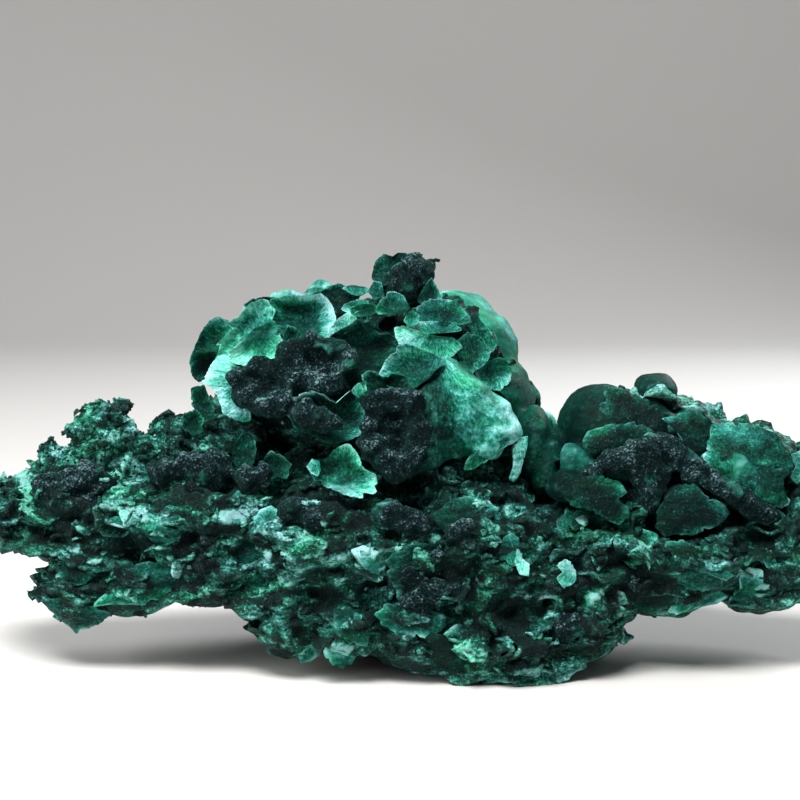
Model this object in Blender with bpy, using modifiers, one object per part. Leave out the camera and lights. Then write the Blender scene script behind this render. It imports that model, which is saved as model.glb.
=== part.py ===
"""Fibrous malachite specimen: one natural lump, with +X along its length, +Y to its back and +Z up.

The lump is a layered crust that carries a rosette of thin ruffled shells, a small knob, smooth
domes, and a cluster of lobes at its right end. It stands on one flat break at z = 0, and the origin
is a point of that break. The forms are listed in millimetres and fused into one closed solid.
"""

import math
from collections import namedtuple

import bmesh
import bpy
from mathutils import Euler, Matrix, Vector, noise

MM = 0.001

# Driving dimensions, in millimetres.
FUSE_VOXEL = 0.62
SHELL_THICKNESS = 1.6
SHELL_GRID = 14
LAYER_PITCH = 4.6
LAYER_REACH = 1.6
LAYER_RISE = 0.0025
CRUST_TOP = 29.0
ROUGHNESS = 0.2
TRIANGLES = 9700
BASE_DEPTH = 30.0
BASE_SPAN = 200.0

Lump = namedtuple("Lump", "x y z rx ry rz tilt")
Shell = namedtuple("Shell", "x y z azimuth elevation spin rx ry cup root ruffle ribs")
Ring = namedtuple("Ring", "x y z azimuth elevation radius tube")
Dent = namedtuple("Dent", "x y z rx ry rz depth")

# The crust: flattened masses that lie side by side and rise a little towards both ends.
CRUST = [
    Lump(-52, 1, 20.5, 9.5, 11, 5.4, 0),
    Lump(-41, 0, 20, 14, 14, 9.0, 4),
    Lump(-26, 0, 20, 15, 17, 11, 4),
    Lump(-24, 0, 29, 7.5, 10, 5.5, 0),
    Lump(-8, 0, 18, 19, 21, 12, 3),
    Lump(-10, -1, 9, 9, 18, 7, 6),
    Lump(8, 1, 16, 22, 23, 14, 0),
    Lump(9, 0, 8, 17, 19, 10, 4),
    Lump(22, 0, 12, 13, 20, 11, -6),
    Lump(38, 0, 18, 16, 19, 10, -3),
    Lump(52, 0, 18, 9.5, 14, 10.5, 0),
    Lump(20, 6, 9, 14, 16, 11, 0),
    Lump(-6, 6, 9, 12, 14, 10, 0),
]

# The lower rim of the crust: knobs that hang below it and reach to the front.
FEET = [
    Lump(-44, -6, 11.2, 5.2, 8, 6.2, 0),
    Lump(-37, -6, 12.5, 8, 9, 5.8, 0),
    Lump(-26, -7, 13.5, 8, 10, 5.4, 0),
    Lump(-15, -11, 9.0, 5.6, 9, 7.2, 0),
    Lump(-7, -11, 9.0, 7, 10, 7.6, 0),
    Lump(3, -12, 8.0, 9, 9.5, 8.4, 0),
    Lump(13, -11, 6.5, 11, 11.5, 8.8, 0),
    Lump(24.5, -8, 7.5, 6.5, 11, 7.2, 0),
    Lump(36, -6, 14, 9, 11, 7.4, 0),
    Lump(50, -4, 15.5, 10, 10, 9.0, 0),
]

# Crystal-covered knuckles on the crust's left arm.
KNUCKLES = [
    Lump(-42, -2, 29.0, 4.4, 5.5, 7.0, 0),
    Lump(-38, -2, 28.0, 4.4, 5.5, 5.4, 0),
    Lump(-48, -1, 24.5, 4.6, 7, 5.0, 0),
    Lump(-33, -2, 27.0, 6, 6, 5.4, 8),
    Lump(-28.6, -5, 33.6, 1.9, 3.2, 4.4, -8),
    Lump(-41, 6, 26, 8, 7, 6, 0),
    Lump(-30, 8, 27, 9, 8, 6, 0),
]

# The core of the rosette and the domes behind it.
ROSETTE = [
    Lump(-7, 3, 37, 16, 14, 12, 0),
    Lump(-17, 1, 39.5, 8.0, 9, 7.5, 0),
    Lump(6, 2, 38, 12, 13, 11.5, 0),
    Lump(8.0, 9, 42, 8.4, 9.5, 8.6, 0),
    Lump(13.4, 6, 34.5, 5.6, 10, 8, 0),
    Lump(9.5, -8, 33.5, 7.5, 9, 8, 35),
    Lump(0.2, 0, 52.2, 4.4, 4.2, 4.5, 0),
    Lump(1, 0, 48, 5, 5, 4, 0),
    Lump(19.2, -4, 29, 2.8, 4.5, 7.0, 6),
    Lump(-6, 13, 36, 12, 8, 10, 0),
    Lump(6, 15, 31, 10, 8, 10, 0),
]

# The right-hand cluster: smooth domes, two small knobs and a crest.
CLUSTER = [
    Lump(28.8, 2, 31, 5.9, 8, 6.6, 0),
    Lump(33, 1, 32.0, 5.5, 7, 5.2, 0),
    Lump(36.6, 2, 33.4, 4.6, 6.5, 5.0, 0),
    Lump(42, 2, 27.5, 11, 12, 8.2, 12),
    Lump(52, 1, 24.5, 8, 11, 6.5, 10),
    Lump(22.6, -7, 28.2, 2.0, 2.2, 2.2, 0),
    Lump(37.0, -9, 28.2, 1.5, 1.7, 1.6, 0),
    Lump(28, -8, 22, 6, 6, 5, 0),
    Lump(38, -9, 23, 8, 6, 6, 0),
    Lump(36, 12, 25, 13, 8, 9, 0),
]

# Thin curved shells. Azimuth 0 faces the front (-Y) and grows to the right, elevation tips the face up.
# Root is where a shell's ribs start, in shares of its radii; a positive cup brings the rim forward.
SHELLS = [
    # the bright left fan of the rosette, its outer wings and the skirt under it
    Shell(-22.0, -9, 43.0, -28, 22, 10, 6.0, 5.2, 2.2, (0.5, -0.5), 0.7, 7),
    Shell(-25.0, -6, 42.6, -62, 5, 0, 5.0, 4.8, 0.8, (0.6, -0.2), 0.8, 5),
    Shell(-20.5, -13, 37.5, -38, -18, 0, 5.4, 4.6, -1.4, (0.6, 0.8), 0.6, 9),
    Shell(-15.0, -7, 46.6, -12, 36, 0, 7.2, 4.0, 1.2, (0.0, -0.8), 0.6, 6),
    # the cups across the rosette's face
    Shell(-17.0, -12, 42.5, 16, 10, 0, 4.6, 5.0, 2.6, (-0.5, -0.6), 0.3, 4),
    Shell(-12.0, -9, 46.8, 30, 16, 0, 5.2, 4.4, 2.4, (-0.6, -0.4), 0.5, 3),
    Shell(-5.0, -11, 43.5, 6, 14, 0, 6.0, 5.4, 2.2, (0.0, -0.5), 0.5, 4),
    Shell(-8.8, -17, 36.0, -6, 12, -6, 6.0, 4.0, 2.6, (0.0, -0.4), 0.7, 3),
    Shell(0.8, -14, 42.0, 10, 26, 12, 5.8, 5.0, 2.0, (0.2, -0.7), 0.6, 4),
    Shell(9.0, -14, 37.0, 26, 22, 30, 7.6, 8.4, -3.2, (-0.3, 0.4), 0.4, 3),
    Shell(-6.5, -16.5, 30.5, -10, 18, 0, 5.0, 4.6, 1.4, (0.2, 0.8), 0.5, 4),
    Shell(-6.8, -4, 49.5, -4, 36, 0, 5.4, 3.6, 1.2, (0.0, -0.8), 0.6, 4),
    Shell(3.5, -3, 47.5, 20, 40, 0, 5.4, 4.2, 0.8, (0.0, -0.6), 0.6, 4),
    Shell(10.5, -3, 45.0, 42, 34, 0, 6.2, 5.4, -1.6, (0.0, -0.4), 0.6, 5),
    # upright leaves where the crust meets the rosette
    Shell(-27.2, -8, 34.8, -20, 8, 10, 2.6, 3.8, 0.6, (0.0, -0.8), 0.3, 2),
    Shell(-30.5, -7, 32.0, 0, 12, 0, 3.0, 3.0, 0.6, (0.0, -0.8), 0.3, 2),
    # overlapping scales of the right-hand cluster
    Shell(31.0, -8, 29.8, -8, 24, 0, 5.6, 4.2, -1.6, (0.2, 0.5), 0.3, 3),
    Shell(33.5, -11, 26.8, 4, 28, 8, 6.2, 3.8, -1.4, (0.0, 0.6), 0.3, 3),
    Shell(46.0, -11, 28.5, 12, 20, -10, 6.4, 6.0, -2.0, (-0.2, 0.5), 0.3, 3),
    Shell(39.0, -14, 23.0, 10, 8, -20, 6.0, 6.0, -1.6, (-0.3, 0.5), 0.3, 3),
    Shell(29.5, -14.5, 22.5, -4, 4, 20, 5.2, 3.8, -1.6, (-0.3, 0.5), 0.2, 2),
    Shell(51.0, -10, 23.5, 30, 2, 0, 5.4, 5.6, -0.8, (-0.2, 0.3), 0.5, 4),
    Shell(37.0, -3, 36.5, 0, 50, 0, 5.2, 3.4, 0.8, (0.0, -0.5), 0.5, 4),
    # shells on the back and on top, of the same growth
    Shell(-14.0, 12, 45.0, 165, 25, 0, 7.0, 6.0, 2.0, (0.0, -0.6), 0.7, 5),
    Shell(-20.0, 8, 40.0, 200, 5, 0, 6.0, 6.0, 1.6, (0.0, -0.6), 0.7, 5),
    Shell(-2.0, 18, 40.0, 178, 18, 0, 7.0, 6.5, 2.4, (0.0, -0.5), 0.6, 4),
    Shell(-10.0, 17, 33.0, 172, -6, 0, 6.5, 6.0, 1.8, (0.0, 0.6), 0.6, 4),
    Shell(10.0, 19, 35.0, 150, 8, 0, 6.5, 6.0, -2.0, (0.0, 0.5), 0.5, 4),
    Shell(34.0, 17, 27.0, 175, 15, 0, 7.0, 5.5, -1.8, (0.0, 0.5), 0.5, 4),
    Shell(46.0, 13, 25.0, 150, 12, 0, 6.5, 5.5, -1.6, (0.0, 0.5), 0.5, 4),
    Shell(23.0, 14, 28.0, 180, 22, 0, 6.5, 5.5, 1.8, (0.0, -0.5), 0.5, 4),
]

# Crust plates that stand out of the layers as ledges. They face up, and lean a little to the front.
LEDGES = [
    Shell(-52.0, -6, 24.5, 0, 70, 0, 7.0, 6.0, -0.8, (0.0, 0.5), 0.5, 4),
    Shell(-46.0, -8, 19.5, 0, 66, 0, 9.0, 6.5, -0.8, (0.0, 0.5), 0.6, 5),
    Shell(-33.0, -10, 22.5, 0, 62, 0, 8.0, 6.0, -0.8, (0.0, 0.5), 0.6, 5),
    Shell(-40.0, -8, 14.5, 0, 68, 0, 9.0, 6.0, -0.8, (0.0, 0.5), 0.6, 5),
    Shell(-24.0, -13, 17.5, 0, 64, 0, 9.0, 6.0, -0.8, (0.0, 0.5), 0.6, 5),
    Shell(-20.0, -14, 24.0, 0, 62, 0, 8.0, 6.0, -0.8, (0.0, 0.5), 0.6, 5),
    Shell(-9.0, -18, 20.5, 0, 60, 0, 9.0, 6.0, -0.8, (0.0, 0.5), 0.6, 5),
    Shell(-18.0, -14, 12.0, 0, 64, 0, 8.0, 6.0, -0.8, (0.0, 0.5), 0.6, 5),
    Shell(-6.0, -18, 12.5, 0, 58, 0, 7.5, 5.5, -0.8, (0.0, 0.5), 0.6, 5),
    Shell(5.5, -21, 15.5, -8, 14, 0, 7.0, 5.6, -2.4, (0.0, 0.5), 0.5, 4),
    Shell(8.0, -19, 7.5, 0, 40, 0, 9.0, 5.0, -1.6, (0.0, 0.5), 0.5, 5),
    Shell(20.0, -18, 8.0, 0, 46, 0, 8.0, 5.0, -1.2, (0.0, 0.5), 0.5, 5),
    Shell(14.0, -19, 22.0, 0, 36, 0, 7.0, 5.0, -1.2, (0.0, 0.5), 0.5, 4),
    Shell(28.0, -17, 15.0, 0, 44, 0, 8.0, 5.5, -1.2, (0.0, 0.5), 0.5, 5),
    Shell(40.0, -15, 13.5, 0, 50, 0, 9.0, 5.5, -1.0, (0.0, 0.5), 0.6, 5),
    Shell(51.0, -10, 14.0, 10, 56, 0, 8.0, 6.0, -0.8, (0.0, 0.5), 0.6, 5),
    Shell(-36.0, 10, 20.0, 180, 62, 0, 10, 6.5, -0.8, (0.0, 0.5), 0.6, 5),
    Shell(-14.0, 17, 20.0, 180, 60, 0, 10, 6.5, -0.8, (0.0, 0.5), 0.6, 5),
    Shell(6.0, 20, 22.0, 180, 56, 0, 10, 6.5, -0.8, (0.0, 0.5), 0.6, 5),
    Shell(28.0, 16, 17.0, 180, 58, 0, 10, 6.5, -0.8, (0.0, 0.5), 0.6, 5),
    Shell(46.0, 11, 18.0, 180, 60, 0, 9, 6.0, -0.8, (0.0, 0.5), 0.6, 5),
    Shell(-4.0, 17, 10.0, 180, 58, 0, 10, 6.0, -0.8, (0.0, 0.5), 0.6, 5),
]

# Velvet cushions: low rings with a sunken middle.
CUSHIONS = [
    Ring(-18.2, -14, 38.6, -12, 10, 3.6, 1.9),
    Ring(-11.6, -14, 40.2, 6, 14, 3.8, 2.0),
    Ring(-0.2, -16, 33.6, 8, 2, 3.8, 2.1),
    Ring(2.0, -4, 52.5, 30, 4, 2.0, 1.5),
    Ring(-48.0, -10, 23.6, 0, 30, 3.4, 2.0),
]

# Hollows: the dark caves under the rosette and between it and the lobes.
HOLLOWS = [
    Dent(-11, -17, 32.5, 8.0, 8, 3.0, 7.0),
    Dent(1.0, -18, 26.8, 6.0, 9, 2.6, 7.0),
    Dent(14.0, -17, 29.0, 4.0, 9, 3.4, 6.0),
    Dent(33.5, -19, 17.8, 3.0, 6, 3.0, 4.0),
    Dent(17.0, -22, 9.5, 5.0, 6, 2.4, 4.0),
]


def clear_scene():
    for item in list(bpy.data.objects):
        bpy.data.objects.remove(item, do_unlink=True)


def facing(azimuth, elevation, spin):
    """The turn that carries local +Z to the outward direction of azimuth and elevation, in degrees."""
    out = Euler((math.radians(90 - elevation), 0, math.radians(azimuth)), "XYZ").to_matrix()
    return (out @ Matrix.Rotation(math.radians(spin), 3, "Z")).to_4x4()


def add_lump(lump):
    bpy.ops.mesh.primitive_ico_sphere_add(subdivisions=3, radius=1.0)
    body = bpy.context.object
    place = Matrix.Translation(Vector((lump.x, lump.y, lump.z)) * MM)
    turn = Matrix.Rotation(math.radians(lump.tilt), 4, "Y")
    size = Matrix.Diagonal((lump.rx * MM, lump.ry * MM, lump.rz * MM, 1.0))
    body.data.transform(place @ turn @ size)
    return body


def shell_height(shell, u, v):
    """How far the shell's surface stands out of its own plane at (u, v) of its unit disc."""
    du = u - shell.root[0]
    dv = v - shell.root[1]
    reach = math.hypot(du, dv)
    wave = math.sin(shell.ribs * math.atan2(dv, du) + shell.x)
    return shell.cup * (u * u + v * v) + shell.ruffle * wave * min(reach, 1.4)


def add_shell(shell):
    """A square grid rounded into a disc, bent into a cup with ribs, and thickened."""
    mesh = bpy.data.meshes.new("shell")
    form = bmesh.new()
    bmesh.ops.create_grid(form, x_segments=SHELL_GRID, y_segments=SHELL_GRID, size=1.0)
    for vertex in form.verts:
        s, t = vertex.co.x, vertex.co.y
        u = s * math.sqrt(1.0 - t * t / 2.0)
        v = t * math.sqrt(1.0 - s * s / 2.0)
        ragged = 1.0 + 0.16 * noise.noise(Vector((u * 1.7 + shell.x, v * 1.7, shell.z)))
        height = shell_height(shell, u, v)
        vertex.co = Vector((u * shell.rx * ragged, v * shell.ry * ragged, height)) * MM
    form.to_mesh(mesh)
    form.free()
    body = bpy.data.objects.new("shell", mesh)
    bpy.context.collection.objects.link(body)
    mesh.transform(
        Matrix.Translation(Vector((shell.x, shell.y, shell.z)) * MM)
        @ facing(shell.azimuth, shell.elevation, shell.spin)
    )
    thick = body.modifiers.new("thickness", "SOLIDIFY")
    thick.thickness = SHELL_THICKNESS * MM
    thick.offset = 0.0
    return body


def add_cushion(ring):
    bpy.ops.mesh.primitive_torus_add(
        major_segments=24,
        minor_segments=10,
        major_radius=ring.radius * MM,
        minor_radius=ring.tube * MM,
    )
    body = bpy.context.object
    body.data.transform(
        Matrix.Translation(Vector((ring.x, ring.y, ring.z)) * MM)
        @ facing(ring.azimuth, ring.elevation, 0.0)
    )
    return body


def fuse(bodies):
    """All forms joined and remeshed into one skin."""
    bpy.ops.object.select_all(action="DESELECT")
    for body in bodies:
        body.select_set(True)
    bpy.context.view_layer.objects.active = bodies[0]
    bpy.ops.object.convert(target="MESH")
    bpy.ops.object.join()
    whole = bpy.context.object
    skin = whole.modifiers.new("skin", "REMESH")
    skin.mode = "VOXEL"
    skin.voxel_size = FUSE_VOXEL * MM
    bpy.ops.object.modifier_apply(modifier=skin.name)
    return whole


def keep_largest_island(mesh):
    """Deletes any loose crumb, so that one connected skin is left."""
    form = bmesh.new()
    form.from_mesh(mesh)
    unseen = set(form.verts)
    islands = []
    while unseen:
        start = unseen.pop()
        island = [start]
        edge_of_search = [start]
        while edge_of_search:
            vertex = edge_of_search.pop()
            for edge in vertex.link_edges:
                other = edge.other_vert(vertex)
                if other in unseen:
                    unseen.remove(other)
                    island.append(other)
                    edge_of_search.append(other)
        islands.append(island)
    islands.sort(key=len)
    crumbs = [vertex for island in islands[:-1] for vertex in island]
    bmesh.ops.delete(form, geom=crumbs, context="VERTS")
    form.to_mesh(mesh)
    form.free()


def ledge_push(point, normal):
    """How far a layer of the crust stands out at this point, in millimetres."""
    x, y, z = point
    if z > CRUST_TOP + 2.0:
        return 0.0
    wander = 1.5 * noise.noise(Vector((x, y, z)) / 14.0)
    level = (z - LAYER_RISE * (x - 10.0) ** 2 + wander) / LAYER_PITCH
    step = level - math.floor(level)
    reach = 0.6 + noise.noise(Vector((x / 9.0, y / 9.0, math.floor(level) * 3.7)))
    sideways = 1.0 - min(1.0, abs(normal.z))
    fade = min(1.0, (CRUST_TOP + 2.0 - z) / 4.0)
    return LAYER_REACH * reach * (step - 0.45) * 2.0 * sideways * fade


def hollow_push(point):
    """How far inwards this point is carried by the hollows, in millimetres."""
    deepest = 0.0
    for dent in HOLLOWS:
        offset = Vector(
            (
                (point.x - dent.x) / dent.rx,
                (point.y - dent.y) / dent.ry,
                (point.z - dent.z) / dent.rz,
            )
        )
        if offset.length < 1.0:
            deepest = max(deepest, dent.depth * (1.0 - offset.length_squared) ** 0.5)
    return deepest


def carve(whole):
    """Ledges, hollows and lumps pushed into the skin."""
    mesh = whole.data
    moves = []
    for vertex in mesh.vertices:
        point = vertex.co / MM
        normal = vertex.normal
        lumps = noise.fractal(point / 4.5, 0.9, 2.0, 3) * ROUGHNESS
        out = lumps + ledge_push(point, normal)
        inward = hollow_push(point)
        moves.append((normal * out + Vector((0.0, inward, 0.0))) * MM)
    for vertex, move in zip(mesh.vertices, moves):
        vertex.co = vertex.co + move
    mesh.update()


def settle(whole):
    """Remeshes the carved skin, so that no two faces cross, and thins it to the triangle budget."""
    skin = whole.modifiers.new("skin", "REMESH")
    skin.mode = "VOXEL"
    skin.voxel_size = FUSE_VOXEL * MM
    bpy.ops.object.modifier_apply(modifier=skin.name)
    keep_largest_island(whole.data)
    faces = 2 * len(whole.data.polygons)
    thin = whole.modifiers.new("thin", "DECIMATE")
    thin.ratio = TRIANGLES / faces
    thin.use_collapse_triangulate = True
    bpy.ops.object.modifier_apply(modifier=thin.name)


def cut_base(whole, helpers):
    """The flat break at z = 0 that the lump stands on."""
    bpy.ops.mesh.primitive_cube_add(size=1.0)
    block = bpy.context.object
    block.name = "base_cutter"
    size = Matrix.Diagonal((BASE_SPAN * MM, BASE_SPAN * MM, BASE_DEPTH * MM, 1.0))
    block.data.transform(Matrix.Translation((0.0, 0.0, -BASE_DEPTH / 2 * MM)) @ size)
    for collection in list(block.users_collection):
        collection.objects.unlink(block)
    helpers.objects.link(block)
    block.hide_render = True
    block.display_type = "WIRE"
    cut = whole.modifiers.new("flat_break", "BOOLEAN")
    cut.operation = "DIFFERENCE"
    cut.object = block


def malachite():
    material = bpy.data.materials.new("malachite")
    material.use_nodes = True
    shader = material.node_tree.nodes["Principled BSDF"]
    shader.inputs["Base Color"].default_value = (0.010, 0.120, 0.080, 1.0)
    shader.inputs["Roughness"].default_value = 0.55
    shader.inputs["Metallic"].default_value = 0.0
    return material


def build():
    clear_scene()
    parts = bpy.data.collections.new("malachite_specimen")
    helpers = bpy.data.collections.new("cutters")
    bpy.context.scene.collection.children.link(parts)
    bpy.context.scene.collection.children.link(helpers)
    bodies = [add_lump(lump) for lump in CRUST + FEET + KNUCKLES + ROSETTE + CLUSTER]
    bodies += [add_shell(shell) for shell in SHELLS + LEDGES]
    bodies += [add_cushion(ring) for ring in CUSHIONS]
    whole = fuse(bodies)
    carve(whole)
    settle(whole)
    whole.name = "specimen"
    for collection in list(whole.users_collection):
        collection.objects.unlink(whole)
    parts.objects.link(whole)
    whole.data.materials.clear()
    whole.data.materials.append(malachite())
    cut_base(whole, helpers)


build()
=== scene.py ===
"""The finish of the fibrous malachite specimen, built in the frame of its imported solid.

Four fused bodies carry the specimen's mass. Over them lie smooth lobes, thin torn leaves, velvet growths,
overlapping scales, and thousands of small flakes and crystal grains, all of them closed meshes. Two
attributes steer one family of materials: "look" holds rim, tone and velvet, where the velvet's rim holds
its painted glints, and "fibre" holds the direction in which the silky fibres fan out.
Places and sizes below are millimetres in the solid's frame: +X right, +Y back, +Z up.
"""

import itertools
import math
from collections import namedtuple

import bpy
import numpy as np
from mathutils import Matrix, Vector


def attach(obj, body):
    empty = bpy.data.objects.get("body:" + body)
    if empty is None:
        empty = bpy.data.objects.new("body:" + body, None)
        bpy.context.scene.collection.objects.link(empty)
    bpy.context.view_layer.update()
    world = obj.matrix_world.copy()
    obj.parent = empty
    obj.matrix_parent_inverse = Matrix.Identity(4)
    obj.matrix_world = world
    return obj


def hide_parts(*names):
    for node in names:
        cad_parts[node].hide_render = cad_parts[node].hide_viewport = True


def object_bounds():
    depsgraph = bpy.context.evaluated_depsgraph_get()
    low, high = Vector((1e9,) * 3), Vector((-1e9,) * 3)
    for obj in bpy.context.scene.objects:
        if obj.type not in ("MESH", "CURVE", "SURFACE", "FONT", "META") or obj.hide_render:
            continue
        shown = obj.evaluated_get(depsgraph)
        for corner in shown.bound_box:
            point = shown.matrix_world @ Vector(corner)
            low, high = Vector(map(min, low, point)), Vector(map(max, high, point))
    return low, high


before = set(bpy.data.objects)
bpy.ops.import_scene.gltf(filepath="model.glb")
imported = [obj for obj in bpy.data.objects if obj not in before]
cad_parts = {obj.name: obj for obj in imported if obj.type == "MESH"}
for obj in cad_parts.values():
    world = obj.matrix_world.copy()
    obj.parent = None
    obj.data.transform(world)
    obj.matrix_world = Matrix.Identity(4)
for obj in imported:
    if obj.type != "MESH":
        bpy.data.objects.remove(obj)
CAD_LOW, CAD_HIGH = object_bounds()

MM = 0.001
BODY_VOXEL = 0.48
VELVET_VOXEL = 0.38
# How far every vertex stays inside the solid's box.
BOX_MARGIN = 0.02

# The camera: a square frame from slightly above the specimen, 300 mm from it.
CAMERA_DISTANCE = 300.0
CAMERA_ELEVATION = 6.0
CAMERA_TARGET = (0.0, 0.0, 36.0)
SENSOR_WIDTH = 36.0
FRAME_WIDTH_AT_TARGET = 112.0
# Where the lights point, in metres.
LIGHTS_AIM = (0.0, 0.0, 0.03)

# Layering of the crust: broad ledges, and thin leaves between them.
LEDGE_PITCH, LEDGE_REACH, LEDGE_SEED = 4.6, 1.5, 1
LEAF_PITCH, LEAF_REACH, LEAF_SEED = 1.7, 0.55, 7
LAYER_RISE = 0.0025
LAYER_CENTRE = 10.0
CRUST_TOP = 31.0

# Broken pieces of the crust: chunks, chips on them, and crystals on the knuckles.
CHUNK_SIZE, CHUNK_REACH, CHUNK_SEED = 6.5, 1.5, 81
CHIP_SIZE, CHIP_REACH, CHIP_SEED = 2.7, 0.85, 91
CRYSTAL_SIZE, CRYSTAL_REACH, CRYSTAL_SEED = 1.5, 0.9, 95

# The scales on the crust's front: how far they stand out, and how their rims fall back.
SCALE_HEIGHT = 0.8
SCALE_CUP = -0.7

# What is scattered: places tried, the gap between chips, the flakes' sizes, the grains kept.
SCATTER_SEED = 11
CHIP_PLACES, CHIP_GAP = 5200, 3.8
FLAKE_PLACES, FLAKE_LEAST, FLAKE_MOST = 5000, 0.35, 1.45
GRAIN_PLACES, GRAIN_COUNT = 40000, 2600
# A flake's corners, and the straight breaks round a shell.
FLAKE_SIDES = 6
OUTLINE_SIDES = 5
# Rows of a leaf's grid, before its density or detail: a base, and more for each mm of its reach.
GRID_ROWS = 11
SHELL_ROWS_PER_MM = 3.4
LEAF_ROWS_PER_MM = 3.8

# The surface's grain, whose finest noise also places the painted sparkle and the velvet's painted glints.
# The streaks' scale is over "fibre"; the others are cells a metre, and bedding stretches some of them along
# the layers.
STREAK_SCALE = 24.0
TINT_SCALE, SHADOW_SCALE, PATCH_SCALE = 190.0, 210.0, 300.0
CELL_SCALE, SPECK_SCALE, GRAIN_AND_SPARKLE_SCALE = 1000.0, 2300.0, 3600.0
BEDDING = (0.8, 0.8, 1.8)
LAMINAE = (300.0, 300.0, 2300.0)

Lump = namedtuple("Lump", "x y z rx ry rz tilt")
Lobe = namedtuple("Lobe", "x y z rx ry rz tilt tone")
Shell = namedtuple("Shell", "x y z azimuth elevation spin rx ry cup root ruffle ribs tone")
Petal = namedtuple("Petal", "y lean tip cup root dark light edge lit ribs corners")
Scale = namedtuple("Scale", "tone edge lit corners")
Torn = namedtuple("Torn", "tone stand corners")
Patch = namedtuple("Patch", "x y z radius")
Dent = namedtuple("Dent", "x y z rx ry rz depth")
# A closed mesh: its faces as arrays of corner indices, and what its material reads at each vertex.
Form = namedtuple("Form", "points faces look fibre")

# ---------------------------------------------------------------- the forms, in millimetres

CRUST_LEFT = [Lump(*row) for row in (
    (-52, 1, 20.5, 9.5, 11, 5.4, 0), (-41, 0, 20, 14, 14, 9, 4), (-26, 0, 20, 15, 17, 11, 4),
    (-24, 0, 29, 7.5, 10, 5.5, 0), (-44, -6, 11.2, 5.2, 8, 6.2, 0), (-37, -6, 12.5, 8, 9, 5.8, 0),
    (-26, -7, 13.5, 8, 10, 5.4, 0), (-42, -2, 29, 4.2, 5.5, 7, 0), (-38, -2, 28, 4.4, 5.5, 5.4, 0),
    (-48, -1, 24.5, 4.6, 7, 5, 0), (-33, -2, 27, 6, 6, 5.4, 8), (-40.2, -2, 34.2, 1.9, 3, 2, 0),
    (-43.2, -2, 33.2, 1.8, 3, 2, 0), (-30.4, -3, 31, 2.2, 4, 2.4, 0), (-41, 6, 26, 8, 7, 6, 0),
    (-30, 8, 27, 9, 8, 6, 0),
)]

CRUST_MIDDLE = [Lump(*row) for row in (
    (-8, 0, 18, 19, 21, 12, 3), (-10, -1, 9, 9, 18, 7, 6), (8, 1, 16, 22, 23, 14, 0),
    (9, 0, 8, 17, 19, 10, 4), (-15, -11, 9, 5.6, 9, 7.2, 0), (-7, -11, 9, 7, 10, 7.6, 0),
    (3, -12, 8, 9, 9.5, 8.4, 0), (13, -11, 6.5, 11, 11.5, 8.8, 0), (-6, 6, 9, 12, 14, 10, 0),
    (20, 6, 9, 14, 16, 11, 0),
)]

CRUST_RIGHT = [Lump(*row) for row in (
    (22, 0, 12, 13, 20, 11, -6), (38, 0, 18, 16, 19, 10, -3), (52, 0, 18, 9.5, 14, 10.5, 0),
    (24.5, -8, 7.5, 6.5, 11, 7.2, 0), (36, -6, 14, 9, 11, 7.4, 0), (50, -4, 15.5, 10, 10, 9, 0),
    (38, 4, 28, 12, 9, 6.5, 10), (52, 2, 24.5, 7.5, 9.5, 6, 10), (28, -6, 22, 5, 5, 4.5, 0),
    (38, -6, 22, 7, 5, 5, 0), (36, 12, 25, 12, 7.5, 8, 0), (36, 1, 34.2, 6.2, 6, 2.6, 4),
    (34.6, -2.5, 36.2, 3.8, 4, 1.8, 0), (40, -2, 34.6, 4, 5, 1.7, 16), (44, 1, 32.2, 6, 6, 2.4, 14),
    (51, 0, 29.6, 4.6, 6, 2.4, 18),
)]

ROSETTE_CORE = [Lump(*row) for row in (
    (-7, 4, 36, 14.5, 10.5, 10.5, 0), (-17, 2, 38.5, 7, 6.5, 6.5, 0), (6, 4, 37, 10.5, 11, 10.5, 0),
    (9.5, -4, 33, 6, 7, 6, 35), (0.2, 0.4, 51, 4, 4, 4.6, 0), (-1.2, 0.6, 53.6, 2.2, 2.4, 2.4, 0),
    (4.5, 1, 46.5, 7, 6, 5, 30), (-6, 12, 36, 11, 7, 9, 0), (6, 14, 31, 9.5, 7.5, 9.5, 0),
    # behind the leaves of its face
    (-23.5, -1, 42, 3.4, 4, 4.4, 0), (-21, -1, 43.4, 4, 5, 4.2, 0), (-17.5, -4, 40, 5.5, 6.2, 4.4, 0),
    (-12.5, 0.2, 46.5, 4, 4.4, 3.6, 0), (-4.6, 0, 47.8, 4.2, 4.2, 3, 0), (-24.8, -2, 35.4, 2.2, 3.4, 3, 0),
    (-11, -4.6, 41.4, 5.4, 4.6, 4.4, 0), (-4.5, -2.5, 43, 4.5, 3.8, 4, 0), (2, -4.6, 41, 4.4, 4.8, 3.8, 0),
    (4, -3, 44, 4.4, 3.4, 2.8, 0), (-9, -7.4, 36.6, 5.6, 4.8, 3.2, 0), (-0.7, -9, 33.6, 3.2, 4.6, 4.6, 0),
)]

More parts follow.
